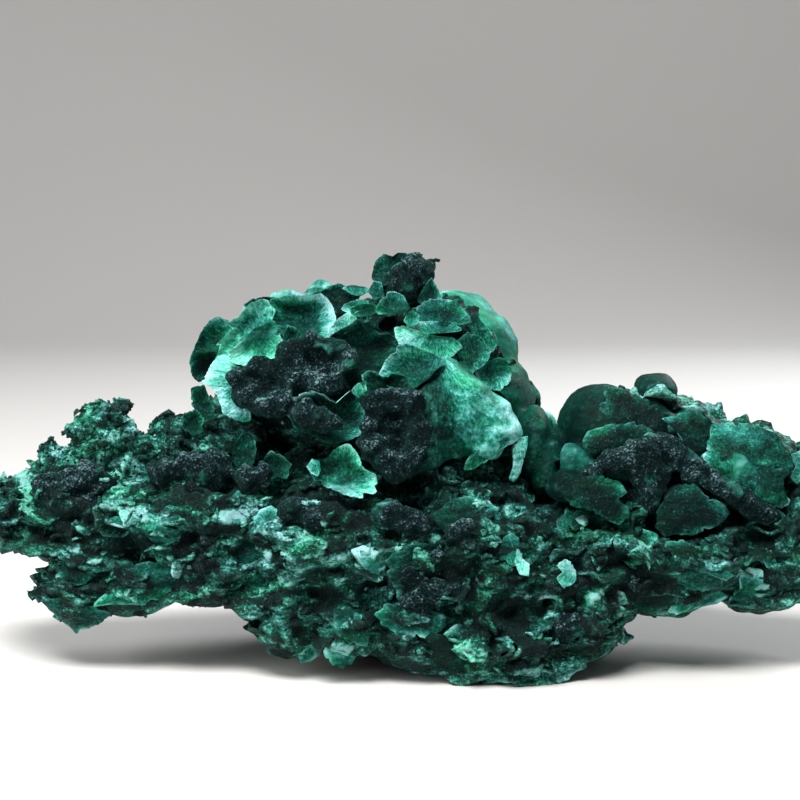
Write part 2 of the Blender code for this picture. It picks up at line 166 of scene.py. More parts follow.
# Smooth domes and knobs with a fine skin.
LOBES = [Lobe(*row) for row in (
    # right of the rosette
    (8, 9, 42, 8.6, 9.6, 8.8, 0, 0.56), (13.6, 7, 34.6, 5.6, 10, 7.4, 0, 0.3),
    (18.4, -3, 30.4, 2.2, 4.2, 5.4, 4, 0.22), (20.2, -3, 27.4, 2.2, 4.2, 5, 10, 0.22),
    # the dark domes at the head of the right mass
    (28.2, -1, 32.6, 6, 8, 5.9, 0, 0.05), (33.2, -1.5, 31.6, 5.8, 7.5, 4.8, 10, 0.05),
    (30.4, -5.5, 31, 5, 6, 2.8, 6, 0.07), (31.4, -8.5, 28.2, 4.4, 5, 2.6, -14, 0.06),
    (35.6, 0.5, 37.4, 3.3, 4, 2.3, 4, 0.06), (39.4, -5, 31.4, 2.5, 6, 4.2, 12, 0.07),
    (36.6, -5, 32.8, 1.8, 4, 2, 20, 0.3),
    # the lighter ones at its right
    (46, -6, 27.6, 5, 7.5, 5.4, 12, 0.36), (49.4, -5, 26.8, 3.4, 7.5, 5, 16, 0.3),
    (43.8, -5.5, 30.2, 2.8, 6, 3, -20, 0.4), (42.6, -10.4, 28.2, 1.6, 3, 1.4, -30, 0.5),
    # the dark tongues under the ridge, and small knobs
    (39.4, -10.8, 22.4, 3.9, 4, 2.7, 10, 0.03), (36.6, -10.8, 21.4, 2.6, 4, 2.2, -14, 0.03),
    (37.4, -10.2, 24.2, 3.6, 4, 2, 0, 0.03), (25.8, -10.4, 24.4, 4.2, 4, 2.6, 20, 0.03),
    (22.8, -10.2, 25.4, 2.8, 4, 2.2, -10, 0.03), (28.4, -10.2, 22.6, 2, 4, 1.6, 0, 0.03),
    (23.3, -8.6, 29, 1.8, 2.4, 2.1, 0, 0.4), (25.7, -9.4, 28.4, 1.5, 2.2, 1.4, 0, 0.28),
    (38.6, -10.8, 29.2, 1.1, 1.6, 1, 0, 0.32),
    # the back
    (30, 12, 28.6, 6.4, 6.2, 5.6, 0, 0.2), (35.2, 11, 27.6, 4.4, 5.4, 4.2, 0, 0.14),
    (25.4, 13, 26.4, 4.2, 4.8, 3.6, 0, 0.3), (44, 8, 27, 6, 6, 5, 10, 0.16),
    (48.6, 7, 24.8, 4.2, 5.2, 3.6, 0, 0.24), (-6.6, 13, 39.6, 6, 6, 5.8, 0, 0.26),
    (-0.8, 14.5, 36.2, 5.6, 6, 4.8, 20, 0.34), (-5, 16, 33.2, 4.2, 4.4, 3.4, 0, 0.2),
    (-16, 8, 38.6, 6.2, 6.2, 5.6, 0, 0.18), (-12, 11, 35.6, 4.6, 5.2, 4, 0, 0.26),
    (-20.4, 6, 36.6, 3.8, 4.6, 3.4, 0, 0.3),
)]

FRONT_DOMES = [lobe for lobe in LOBES if lobe.y < 0]

# The rosette's front leaves. Lean and tip are how fast y grows with x and with z, and cup is how
# far the rim stands nearer than the middle. Fibres fan out from the root. The tone turns from dark
# to light beyond the share edge of the way out, most on the side that the direction lit points to.
# The corners of the outline come last, as (x, z) pairs.
FAR_LEFT_LEAVES = [Petal(*row) for row in (
    (-6.6, 0.3, 0.1, 1.2, (-22.6, 44), 0.26, 0.66, 0.66, (0.8, 0.6), 6, ((-28, 43.5), (-27.5, 44.8),
     (-26.7, 46.6), (-25.7, 47.8), (-24.7, 48), (-22.4, 46.8), (-23.6, 45), (-24.6, 43.4))),
    (-6.2, 0.3, -0.05, 1, (-24, 42.6), 0.15, 0.46, 0.8, (-0.2, 1), 5, ((-28, 43.7), (-24.6, 43.4),
     (-24.9, 41.4), (-26.2, 39.6), (-27.5, 39.4), (-28.4, 40.3), (-28.6, 42))),
    (-8, 0.1, 0, 0.5, (-27, 34), 0.26, 0.44, 0.7, (0, 1), 4, ((-28.3, 38.5), (-26.6, 38.9), (-26.1, 37.4),
     (-25.4, 35.8), (-25.4, 34.2), (-27.2, 34.6), (-28.3, 36.2))),
    (-8.6, 0.1, 0, 0.5, (-28, 31), 0.16, 0.36, 0.7, (0, 1), 4, ((-29.2, 35), (-27.8, 35.6), (-26.8, 34.4),
     (-26.8, 32.6), (-28.2, 31.8), (-29.6, 33.2))),
)]

BOWL = [Petal(*row) for row in (
    # the fibrous band along its back, and the green leaf on top of it
    (-8.4, 0.05, 0.22, 1.6, (-17, 42), 0.58, 0.8, 0.3, (-0.9, 0.4), 11, ((-24.9, 42.8), (-24.5, 44.8),
     (-22.6, 46.6), (-23.4, 47.5), (-21.8, 48.2), (-20.4, 50), (-18.6, 50.4), (-17, 49), (-17.8, 46.8),
     (-19.6, 43), (-22.4, 42.4))),
    (-6.6, 0, 0.3, 0.7, (-18.4, 49.6), 0.22, 0.56, 0.4, (-0.6, 0), 7, ((-21.7, 48), (-21.2, 49.7),
     (-20, 50.5), (-18.4, 50.8), (-17.1, 50.7), (-17, 49.2), (-17.8, 48.2), (-19.6, 48.3))),
    # the tongue with its dark eye, and the small leaf right of it
    (-11.2, 0.06, 0.2, 1.2, (-18.3, 46.2), 0.44, 0.84, 0.3, (-0.2, -1), 8, ((-19.7, 46.8), (-17.2, 47.7),
     (-16.4, 46.6), (-15.9, 45.2), (-15.9, 43.9), (-16.6, 42.6), (-18.4, 41.6), (-20.4, 42), (-22.6, 42.6),
     (-22.6, 43.8), (-20.9, 45.4))),
    (-11.6, -0.1, 0.1, 0.5, (-14.6, 43.6), 0.22, 0.4, 0.4, (-0.4, 0.8), 4, ((-15.8, 45.4), (-15, 47.2),
     (-14.3, 47.1), (-13.1, 45.9), (-13.6, 45), (-14.8, 44), (-15.9, 43.8))),
    # the pleated skirt at the left
    (-12.6, -0.16, 0.1, -0.4, (-18.6, 40.2), 0.6, 0.88, 0.2, (-0.9, 0.4), 42, ((-24.4, 43.2), (-25.5, 41.2),
     (-26.5, 39.5), (-25.3, 39.1), (-24.6, 38.3), (-24.1, 36.8), (-23.8, 35.5), (-22.6, 35.1),
     (-21.2, 34.6), (-20.2, 35), (-20.4, 37), (-21.6, 39), (-21.6, 41.4), (-22.6, 42.8))),
)]

HEART = [Petal(*row) for row in (
    # dark plates and pale scraps behind it
    (-4, 0.1, 0.2, 0.4, (-9, 48), 0.14, 0.34, 0.75, (0.3, 1), 4, ((-11.8, 51.2), (-10.4, 51.9),
     (-8.3, 52.5), (-6.8, 51.8), (-5.6, 50.8), (-6.2, 49.6), (-8.4, 48.6), (-10.2, 50))),
    (-4.4, 0, 0.3, 0.3, (-5, 49), 0.44, 0.62, 0.3, (-0.5, 0.6), 5, ((-7.9, 51.9), (-6.6, 52.3),
     (-4.8, 52.1), (-4.2, 51.5), (-5.4, 50.9), (-6.6, 51))),
    (-6.6, 0, 0.3, 0.4, (-4.4, 48), 0.46, 0.8, 0.2, (-0.9, 0.2), 6, ((-8, 49.1), (-7.5, 49.9), (-5.6, 50.5),
     (-4.2, 50.2), (-4.8, 49.2), (-6.6, 48.5))),
    (-7.2, 0, 0.3, 0.4, (-4.4, 47.6), 0.2, 0.4, 0.5, (-0.4, 0.8), 5, ((-6.8, 49.3), (-4.9, 50),
     (-3.3, 49.8), (-3.1, 48.6), (-4.6, 48.2), (-6.4, 48.2))),
    # the heart-shaped cup with its thick pale rim
    (-7.6, -0.05, 0.12, 2.4, (-12.8, 46.4), 0.24, 0.86, 0.62, (0.7, 0.7), 5, ((-17.3, 50.5), (-15, 51),
     (-12.6, 50.9), (-10.9, 51.2), (-9.8, 50.6), (-9.1, 49.4), (-8.8, 47.8), (-9.2, 46.2), (-9.9, 45),
     (-11.4, 45.6), (-13.6, 45.6), (-15.8, 46), (-17.2, 48))),
    # the pale wedge beside it and the broad dark dish
    (-9.6, 0, 0.24, 0.5, (-7.4, 44), 0.6, 0.86, 0.2, (-0.6, 0.8), 9, ((-10.1, 45.2), (-9.4, 46.8),
     (-7.5, 48.8), (-5.9, 48.2), (-5.8, 47.2), (-7.6, 46), (-9.2, 44.8))),
    (-9.8, 0, 0.16, 2.2, (-5.4, 42), 0.09, 0.24, 0.62, (0.8, 0.8), 4, ((-9.4, 45.3), (-7.8, 46.6),
     (-5.6, 47.8), (-4, 47.2), (-2.9, 45.9), (-1.6, 46.1), (-0.6, 45.2), (-0.3, 44.2), (-1.2, 42.8),
     (-2.2, 41.2), (-3.4, 39.4), (-6, 39.4), (-8.4, 41), (-9.6, 43.4))),
)]

KNOB_FOOT = [Petal(*row) for row in (
    (-7.4, -0.05, 0.2, 0.8, (-0.4, 48), 0.24, 0.52, 0.7, (-0.6, 0.8), 5, ((-3.2, 49), (-3, 49.9),
     (-1.6, 51.5), (-0.5, 51.4), (0.5, 50.9), (1.3, 49.2), (0.2, 48.6), (-1.4, 48.3), (-2.6, 48.4))),
    (-8.2, 0.1, 0.2, 0.3, (1.6, 46), 0.5, 0.7, 0.1, (0, 1), 4, ((0.5, 47.6), (0.9, 48.6), (1.8, 49),
     (2.6, 48.5), (2.5, 47.4), (1.4, 46.8))),
    (-4.6, 0.2, 0.2, 0.5, (3.6, 49), 0.24, 0.5, 0.72, (1, 0.3), 4, ((2.5, 50.2), (3.1, 51.8), (4.3, 53.3),
     (4.9, 52.2), (5.6, 50.8), (5, 49.8), (3.6, 49.6))),
    (-2.2, -0.2, 0.2, 0.5, (-1, 52.6), 0.18, 0.28, 0.6, (-0.6, 0.6), 5, ((-3.9, 53.2), (-3.3, 55.4),
     (-2.3, 56.4), (-1, 56.1), (-0.2, 56.7), (0.8, 56.5), (0.9, 55.4), (-0.6, 54.2), (-1.8, 52.4),
     (-3, 52.2))),
    (-3.4, -0.2, 0.2, 0.3, (-3, 50), 0.3, 0.44, 0.4, (-0.6, 0.6), 3, ((-4.4, 51.4), (-3.6, 52.8),
     (-2.6, 52.6), (-2.2, 50.8), (-3.4, 50.2))),
)]

SLOPE = [Petal(*row) for row in (
    (-5.6, 0.05, 0.34, 0.6, (5.6, 46.4), 0.26, 0.42, 0.4, (0.4, 0.6), 8, ((2.3, 49.2), (3.6, 50.3),
     (5.6, 50.4), (7.6, 50.2), (8.8, 48.8), (9.6, 47.4), (7.4, 46.8), (4.6, 47.2), (2.8, 47))),
    (-6.8, 0.05, 0.36, 0.3, (5, 44.6), 0.44, 0.66, 0.2, (-0.4, 0.6), 9, ((1, 46.9), (2.6, 47.4), (5, 47.5),
     (7.9, 47.3), (8.4, 46.2), (6.4, 46), (3.4, 45.8))),
    (-8.6, 0.05, 0.3, 0.8, (4.6, 46.6), 0.48, 0.78, 0.3, (-0.7, -0.3), 10, ((-0.7, 46.8), (0.6, 46.9),
     (2.6, 46.2), (4.8, 45.6), (7.2, 45.4), (8.4, 44.2), (6.8, 42.8), (5, 42.6), (2.6, 43.6), (0.2, 44.2),
     (-0.6, 45.4))),
    (-7.4, 0.2, 0.3, 0.5, (9, 46.6), 0.22, 0.44, 0.4, (0.4, -0.6), 12, ((7.4, 44.6), (9.2, 46),
     (10.8, 45.4), (12.4, 43.6), (11.6, 41.8), (9.8, 40.6), (8.2, 42))),
    (-4.6, 0.3, 0.2, 0.4, (10, 48.4), 0.32, 0.5, 0.4, (0.6, 0.2), 8, ((9, 47.6), (10.4, 48.2), (12.2, 46.2),
     (13.4, 44.2), (12.6, 43.2), (11.2, 44), (9.8, 46))),
    (-6.4, 0.3, 0.1, 0.6, (12.4, 42.6), 0.34, 0.62, 0.4, (0, -1), 8, ((10, 41), (11.6, 42), (13.6, 42.4),
     (15, 41.6), (15, 39.4), (13.8, 38), (12, 38.4), (10.8, 39.6))),
    (-5.4, 0.2, 0.1, 0.2, (13, 38.6), 0.08, 0.14, 0.6, (0, 1), 6, ((11.8, 37.6), (13.2, 38), (14.4, 37),
     (15, 35), (14.4, 33.6), (13.2, 35), (12, 35.6))),
)]

FRONT_LEAVES = [Petal(*row) for row in (
    # the folded leaf over the big bulge, and the dark one at its foot
    (-12.2, -0.04, 0.24, 1.3, (2.6, 39.4), 0.28, 0.62, 0.5, (-0.8, 0.6), 5, ((-2.7, 40.9), (-1.7, 42.4),
     (-0.5, 44.3), (0.9, 44.7), (2.7, 44.2), (4.5, 43.4), (5.8, 42.4), (4.4, 41), (2.6, 39.6), (1, 38.6),
     (-0.8, 39), (-1.9, 40))),
    (-14, 0.02, 0.16, 0.9, (-1.4, 36.6), 0.13, 0.4, 0.84, (-0.8, 0.6), 4, ((-4.9, 40.7), (-4.3, 41.4),
     (-3.2, 41.2), (-2.2, 40.5), (-0.8, 40.9), (0.4, 40.6), (1.4, 39), (-0.2, 37.6), (-2.2, 37), (-4, 37.2),
     (-4.6, 38.8))),
    # the cup with the wavy pale rim
    (-15.6, 0.02, 0, 2.4, (-8.8, 33), 0.17, 0.76, 0.84, (0.1, 1), 7, ((-14.6, 37), (-14, 38.3),
     (-12.6, 38.6), (-11.4, 38.9), (-10, 38.3), (-8.3, 37.3), (-7.2, 38.2), (-6.1, 39.6), (-5.1, 40.1),
     (-4.7, 39), (-4.3, 37.6), (-4.4, 35.4), (-5.2, 33.4), (-7, 32.6), (-9.4, 32.2), (-11.4, 33.2),
     (-13.4, 34.2), (-14.6, 35.6))),
    (-18.4, 0.02, 0.1, 0.2, (-5.6, 37), 0.5, 0.7, 0.2, (0, 1), 4, ((-6.3, 39), (-5.9, 39.8), (-5.2, 40.2),
     (-4.8, 39.2), (-4.3, 37.7), (-5.4, 38.2))),
    # the pale ledge under the big bulge, and the bright blade right of it
    (-14.2, 0.24, -0.2, 0.3, (11.6, 34), 0.4, 0.56, 0.5, (-0.6, -0.4), 9, ((8.5, 28.2), (9.2, 29.9),
     (10.6, 30.8), (12.6, 31.8), (14.7, 32.3), (14.9, 31.7), (13, 30.4), (11.2, 29), (9.8, 28.2))),
    (-11.6, 0.1, 0.1, -0.3, (16, 34), 0.6, 0.84, 0.2, (-0.4, -0.4), 9, ((15.2, 30.8), (16.1, 31.8),
     (17.2, 32.1), (17.1, 30.4), (16.6, 28.8), (16.3, 27.4), (15.4, 26.2), (14.7, 26.6), (15.3, 28.4))),
    # the fan in front of the cave, and dull leaves where the crust meets the rosette
    (-17.6, 0, 0.1, 1.4, (-7.6, 26.4), 0.28, 0.74, 0.66, (0.9, -0.2), 7, ((-12.3, 29.1), (-11.5, 30.1),
     (-9.9, 29.9), (-8.4, 31.3), (-6.8, 31.9), (-5.8, 31), (-4.8, 28.8), (-3.2, 28.2), (-3, 26),
     (-5.4, 25.2), (-8.6, 26), (-11.2, 27.4))),
    (-18.8, 0, 0.1, 0.1, (-10.4, 27), 0.64, 0.84, 0.2, (-0.9, 0.2), 4, ((-12.3, 29.1), (-11.6, 30),
     (-10.7, 29.9), (-10.5, 28.8), (-10.8, 27.8), (-11.6, 28.2))),
    (-12.4, 0, 0.05, 0.6, (-21, 27.4), 0.18, 0.26, 0.5, (0.6, 0.6), 4, ((-22.4, 30.6), (-21.8, 32),
     (-21, 33), (-19.6, 32.5), (-19.4, 30.4), (-19.8, 28.2), (-21.4, 27.8), (-22.6, 29.2))),
    (-13.4, 0, 0.1, 0.6, (-16.6, 26.6), 0.2, 0.34, 0.6, (0.2, 1), 4, ((-18.4, 29), (-17.4, 30.6),
     (-15.8, 30), (-14.6, 28.8), (-15.2, 27), (-17.6, 27))),
)]

PETALS = FAR_LEFT_LEAVES + BOWL + HEART + KNOB_FOOT + SLOPE + FRONT_LEAVES

# Thin torn shells. Azimuth 0 faces the front and grows to the right, elevation tips the face up.
# A positive cup brings the rim forward. Root is where the fibres start, in shares of the radii.
BACK_SHELLS = [Shell(*row) for row in (
    (-14, 12, 45, 165, 25, 0, 7, 6, 2, (0, -0.6), 0.6, 5, 0.42),
    (-20, 8, 40, 200, 5, 0, 6, 6, 1.6, (0, -0.6), 0.6, 5, 0.24),
    (-2, 18, 40, 178, 18, 0, 7, 6.5, 2.4, (0, -0.5), 0.5, 4, 0.3),
    (-10, 17, 33, 172, -6, 0, 6.5, 6, 1.8, (0, 0.6), 0.5, 4, 0.2),
    (10, 19, 35, 150, 8, 0, 6.5, 6, -2, (0, 0.5), 0.4, 4, 0.44),
)]

RIGHT_LEAVES = [Petal(*row) for row in (
    # the bright edge of the light lobe, and pale scraps at the broken end
    (-10.2, 0.2, 0.05, -0.3, (47, 26), 0.6, 0.88, 0.1, (0.6, -0.3), 8, ((50.7, 27.8), (51.4, 26.2),
     (51.6, 25), (53.4, 23), (51.8, 22.3), (50.6, 22.8), (50.3, 25))),
    (-8.6, 0.2, 0.05, 0.2, (52, 28), 0.56, 0.84, 0.1, (0.5, 0), 8, ((53.2, 29.3), (54.6, 29.9),
     (55.8, 28.6), (55.2, 26), (54.2, 25.4), (53.2, 26.4), (54, 27.8))),
    (-11.4, 0.1, 0.05, 0.1, (51, 19), 0.5, 0.8, 0.1, (0, 1), 5, ((50.3, 21.7), (51.2, 22.4), (52.4, 21.2),
     (52, 20.3), (50.8, 20.2))),
    (-10.6, 0.1, 0.05, 0.2, (54, 17.6), 0.6, 0.88, 0.1, (0, 1), 6, ((52.4, 19.2), (53.2, 20.5),
     (55.4, 20.7), (56.6, 19.6), (55.2, 18.2), (53.4, 18.4))),
    (-12.4, 0.1, 0.05, 0.2, (50, 13), 0.4, 0.56, 0.3, (0, 1), 6, ((48.8, 16.5), (50.1, 16.9), (50.9, 15.2),
     (52.4, 14.4), (50.8, 13.6), (49.4, 14.8))),
    # the bright flake on the crust under the domes, and the emerald crescent left of it
    (-20.2, 0.05, 0.1, 0.2, (22.4, 15.4), 0.62, 0.84, 0.3, (-0.4, 0.4), 7, ((20.7, 16.1), (21.7, 17),
     (22.5, 16.6), (23.1, 15.3), (23.2, 14.3), (21.7, 13.2), (20.6, 14.6), (21.5, 15.3))),
    (-20.4, 0.1, 0.05, -0.4, (14, 21), 0.44, 0.56, 0.4, (1, -0.4), 6, ((13.3, 17.6), (13.6, 20),
     (14.6, 20.5), (15.4, 20.2), (16, 18), (15.8, 16.2), (14.6, 16.2))),
    (-20.9, 0.1, 0.05, 0, (15.4, 20), 0.8, 0.96, 0.1, (0.5, -0.5), 6, ((15.5, 18.8), (16.1, 17.2),
     (17, 16.5), (16.9, 15), (15.7, 15.2), (15.1, 16.8))),
)]

# Satin scales over the domes of the right mass, from the farthest to the nearest.
DOME_SCALES = [Petal(*row) for row in (
    (-9, 0, 0.26, -0.9, (33, 31), 0.04, 0.21, 0.84, (-1, 0.3), 5, ((28.4, 38.5), (30.6, 38.2), (33.6, 36.6),
     (36.4, 34.8), (37.8, 33.4), (37.6, 31), (34, 30.8), (30.6, 30.8), (28.4, 31.6), (27.6, 33.4),
     (27.4, 35.4))),
    (-11.4, 0.05, 0.24, -0.7, (31, 29.6), 0.05, 0.28, 0.8, (-0.7, 0.8), 5, ((25, 31.4), (25.6, 32.8),
     (27, 33.2), (29, 33.8), (31.6, 34), (34, 33), (34.4, 31.2), (32, 29.6), (28, 29.6), (25.6, 30.4))),
    (-12.8, 0.05, 0.18, -0.6, (31, 27), 0.04, 0.22, 0.82, (-0.4, 1), 4, ((26.4, 28), (28.4, 29.8),
     (30.6, 31), (33, 31.6), (35.2, 30.8), (34.8, 28.4), (31.4, 26.8), (28.2, 26.8))),
    (-11.2, 0.1, 0.12, -0.6, (40, 31), 0.05, 0.48, 0.84, (-1, 0.1), 4, ((35.2, 34.4), (37.2, 34.8),
     (39.6, 35.6), (41.6, 34.6), (42, 32.4), (41.4, 30), (40.2, 28.4), (38.2, 28.4), (37.2, 30), (38, 31.8),
     (37.2, 33.2))),
    (-12.2, 0.1, 0.22, -1.6, (47.6, 28), 0.26, 0.44, 0.6, (-0.5, 0.8), 7, ((40.8, 29.4), (42, 31.4),
     (42.4, 33.2), (44.8, 33.9), (48.2, 33.4), (50.8, 32), (52.4, 30), (53, 28), (51.4, 26), (49, 25.8),
     (46, 27.4), (43.6, 28.2))),
    (-13.4, 0.12, 0.1, -1.2, (48.6, 29.4), 0.24, 0.42, 0.6, (-0.8, -0.2), 7, ((43.6, 28.8), (46, 29.6),
     (48.4, 29.4), (51.2, 28), (51.6, 25.8), (52.2, 23.8), (50.6, 22.6), (48, 23.6), (45.4, 25.4),
     (43.8, 26.6))),
    (-13.6, 0, 0.1, -0.5, (43, 28), 0.34, 0.62, 0.55, (-1, -0.4), 5, ((40.6, 29.6), (41.4, 30.6),
     (43, 30.2), (44.6, 28.6), (44.8, 27.2), (43.4, 26.8), (41.6, 28))),
    (-15.2, 0, 0.1, -0.5, (22, 27), 0.03, 0.26, 0.84, (0.9, -0.6), 6, ((21, 26.8), (24.4, 27.2), (27, 27.2),
     (29.4, 26.2), (29.9, 25), (29.2, 24.2), (30.4, 23.2), (30.4, 21.9), (29.2, 20.9), (27.6, 21.6),
     (25.8, 22.6), (23.8, 23.2), (21.6, 24.2))),
    (-15.3, 0.02, 0.1, -0.5, (36, 25.6), 0.03, 0.26, 0.84, (0.9, -0.5), 6, ((34.6, 22.6), (35.6, 24.4),
     (37.4, 26.2), (39.4, 26), (41, 24.5), (43, 23.7), (44, 22.3), (42.6, 20.8), (40.8, 20.3), (38.9, 19.4),
     (36.8, 19.7), (35.4, 19.2), (34.4, 20.6))),
)]

# Broad scales on the crust's front, each the face of a broken lump: the tone of its middle and
# of its edge, the side that catches the light, and its corners as (x, z) pairs.
CRUST_SCALES = [Scale(*row) for row in (
    # the left arm
    (0.32, 0.46, (0, -1), ((-39.9, 21.1), (-37.1, 21.8), (-32.9, 21.3), (-29.3, 20.2), (-30.1, 19),
     (-32.2, 17.5), (-32.9, 18.6), (-34.5, 19.9), (-37.4, 20.1))),
    (0.1, 0.5, (-0.3, -1), ((-46.4, 15.3), (-42.3, 15.3), (-41, 13.9), (-42.5, 12.5), (-44.7, 12),
     (-46.4, 12.9))),
    (0.24, 0.44, (0, -1), ((-38.8, 15), (-34.5, 15.3), (-29.8, 15.3), (-28.4, 14.1), (-31.3, 12),
     (-30.5, 10.4), (-34.5, 9.9), (-38, 9.9), (-41.6, 9.6), (-38.8, 11.8))),
    (0.2, 0.4, (0.4, -1), ((-48.6, 9.8), (-45.6, 10.2), (-41.6, 9.2), (-39, 8.2), (-41, 6.6), (-44.4, 5),
     (-46.8, 7.4))),
    # the middle, left of the broadest scale
    (0.34, 0.56, (-0.8, 0.6), ((-22, 25.4), (-19.6, 26.7), (-17.3, 26.4), (-14.5, 24.9), (-15.7, 23),
     (-18.6, 22.7), (-21.2, 23.9))),
    (0.58, 0.88, (0.3, 0.8), ((-19.5, 21.5), (-18.6, 22.9), (-17.3, 23.2), (-15.7, 22.4), (-15.4, 20.8),
     (-17.3, 20), (-18.6, 20.3))),
    (0.18, 0.32, (0.8, -0.6), ((-20, 18.9), (-17.2, 18.2), (-17.4, 16.6), (-19.5, 15.2), (-21.2, 14.4),
     (-23.4, 14.9), (-23.8, 16.4), (-21.7, 17.9))),
    (0.38, 0.6, (-0.4, 0.2), ((-17.9, 19), (-16.6, 19.8), (-13.9, 20.4), (-11.5, 20.6), (-8.4, 19.7),
     (-6.5, 18.6), (-6.4, 17.1), (-8.7, 15.4), (-10.8, 15.7), (-12.5, 15.7), (-14.5, 16.5), (-15.9, 16.5),
     (-16.8, 17.9))),
    (0.26, 0.7, (0.1, -1), ((-24.4, 12.8), (-22.5, 14.2), (-19.6, 14.3), (-16.6, 15), (-14.5, 15.9),
     (-12.7, 15.2), (-14.2, 13.7), (-15, 12.5), (-17.3, 12.5), (-19.6, 11.4), (-21.7, 11.3),
     (-23.1, 11.9))),
    (0.66, 0.94, (-0.6, 0.6), ((-6.5, 18.4), (-4.7, 19), (-2.8, 18.1), (-2.4, 16.6), (-2.8, 14.8),
     (-4.1, 15), (-5.3, 16.6))),
    (0.5, 0.92, (-0.3, 0.9), ((-9.8, 5.5), (-8.7, 6.5), (-6.5, 6), (-5.7, 4.3), (-6.4, 2.3), (-7.7, 1.5),
     (-9.1, 2.2), (-10.1, 4))),
    (0.4, 0.84, (0.6, -0.6), ((-14, 5), (-12.2, 4.6), (-10.6, 3.9), (-11, 2.7), (-12.2, 2), (-13.4, 1.8))),
    (0.24, 0.34, (0, -1), ((-8.6, 10.6), (-5.3, 10.3), (-3.9, 7.2), (-4.5, 5.6), (-6.7, 6.1), (-8.6, 8.4))),
    # the broadest scale and its neighbours
    (0.09, 0.24, (-0.5, -0.8), ((-1.7, 16.5), (-0.7, 18.1), (1.3, 19), (5.8, 19), (8.8, 18.5), (10.9, 17.5),
     (11.5, 15.9), (10.9, 13.2), (8.2, 11.7), (4.2, 11.2), (4, 9.2), (1.9, 9.2), (1, 10.3), (-0.1, 12.7),
     (-1.1, 14.4))),
    (0.16, 0.44, (1, -0.1), ((4.5, 22.6), (6.4, 24.2), (9, 24.9), (10.5, 24.5), (12.9, 23.1), (13.4, 21.1),
     (13.2, 20), (12.6, 19), (10.9, 19), (8, 19.4), (5.6, 20.8))),
    (0.2, 0.54, (-1, -0.2), ((5.8, 7.1), (7.6, 8.4), (9.7, 8), (14.1, 8.5), (18, 8.5), (19.8, 5.4),
     (15.4, 2.8), (10.9, 2.6), (8.8, 3), (7, 5.2))),
    (0.05, 0.16, (0, -1), ((2.6, 7.4), (5.8, 7.3), (7.4, 5.2), (8.7, 3.2), (8, 1.8), (5, 1.6), (3.5, 4))),
    (0.1, 0.56, (-0.1, -1), ((-3, 9.8), (-2.7, 8.5), (-0.6, 7.6), (1.1, 6.9), (3.9, 7), (6, 8.1),
     (5.6, 9.8), (3, 10.4), (0, 11), (-2, 11.2))),
    # under the domes
    (0.2, 0.42, (0.6, 0.8), ((21.2, 21.3), (22.4, 22.4), (24.9, 22), (26.3, 22.3), (27.4, 21.1),
     (27.4, 19.3), (26.1, 17.5), (24.3, 16.3), (22, 16.7))),
    (0.1, 0.56, (0.8, 0.6), ((29, 20.1), (30.5, 20.7), (32.1, 20.2), (34.4, 19.4), (34.3, 17.9),
     (33.6, 16.3), (31.5, 15.7), (29.9, 16.3), (28.6, 18.1))),
    (0.15, 0.36, (0.7, 0.7), ((34.4, 16.5), (35.6, 18.7), (37.7, 18.9), (39.7, 17.7), (41.8, 15.9),
     (44.1, 14.8), (42.8, 14), (39.7, 15.3), (37.3, 15.5), (35.6, 15))),
    (0.08, 0.2, (0, -1), ((30.7, 12.2), (31.9, 14.2), (35.6, 14.4), (37.5, 12.6), (36.7, 10), (34.4, 8.4),
     (31.1, 8.8))),
    (0.22, 0.36, (0.4, -0.8), ((37.5, 15.3), (39.7, 15.3), (43.4, 14), (43.6, 12.2), (39.7, 12),
     (37.1, 13.2))),
    (0.46, 0.7, (0, -1), ((35.6, 8.6), (38.3, 11.6), (40.1, 12), (43, 11.4), (44.3, 10.2), (43, 9.2),
     (39.7, 8.8), (37.3, 8.2))),
    (0.36, 0.86, (-0.4, 0.8), ((45.7, 14), (46.7, 14.8), (48.6, 14.4), (48.8, 12.6), (48, 9.2), (45.5, 9),
     (44.7, 9.8), (46.1, 11.6))),
)]

BACK_OF_CLUSTER = [Shell(*row) for row in (
    (34, 17, 27, 175, 15, 0, 7, 5.5, -1.8, (0, 0.5), 0.4, 4, 0.3),
    (46, 13, 25, 150, 12, 0, 6.5, 5.5, -1.6, (0, 0.5), 0.4, 4, 0.44),
    (23, 14, 28, 180, 22, 0, 6.5, 5.5, 1.8, (0, -0.5), 0.4, 4, 0.34),
)]

# Scales on the domes of the back: the dome's place and radius, the azimuth and elevation at which
# the scale lies on it, the scale's width and height, and its tone.
BACK_SCALES = [
    ((8, 9, 42, 8.8), 176, 34, 5, 4.2, 0.42), ((8, 9, 42, 8.4), 158, 6, 4.4, 4.2, 0.34),
    ((8, 9, 42, 8.6), 205, 8, 4, 4.6, 0.28), ((8, 9, 42, 8.2), 140, 38, 4, 3.4, 0.4),
    ((8, 9, 42, 8), 178, 60, 3.6, 3.2, 0.52), ((13.4, 9, 34, 6.6), 138, 6, 4, 4.4, 0.22),
    ((13.4, 9, 33.6, 7.4), 160, 4, 4, 4.4, 0.3), ((30, 12, 28.6, 6.2), 178, 40, 4, 3.4, 0.3),
    ((30, 12, 28.6, 6.2), 165, 2, 3.8, 3.4, 0.18), ((35.2, 11, 27.6, 5), 160, 36, 3.4, 3, 0.24),
    ((44, 8, 27, 5.8), 176, 34, 3.8, 3.2, 0.26), ((48.6, 7, 24.8, 4.8), 140, 26, 3.2, 2.8, 0.34),
    ((-6.6, 13, 39.6, 6), 190, 38, 4.2, 3.4, 0.36), ((-0.8, 14, 36.2, 6), 172, 14, 4, 3.6, 0.26),
    ((-16, 8, 38.6, 6.2), 200, 34, 4, 3.4, 0.3), ((-12, 11, 35.6, 5), 182, 10, 3.4, 3.2, 0.2),
]

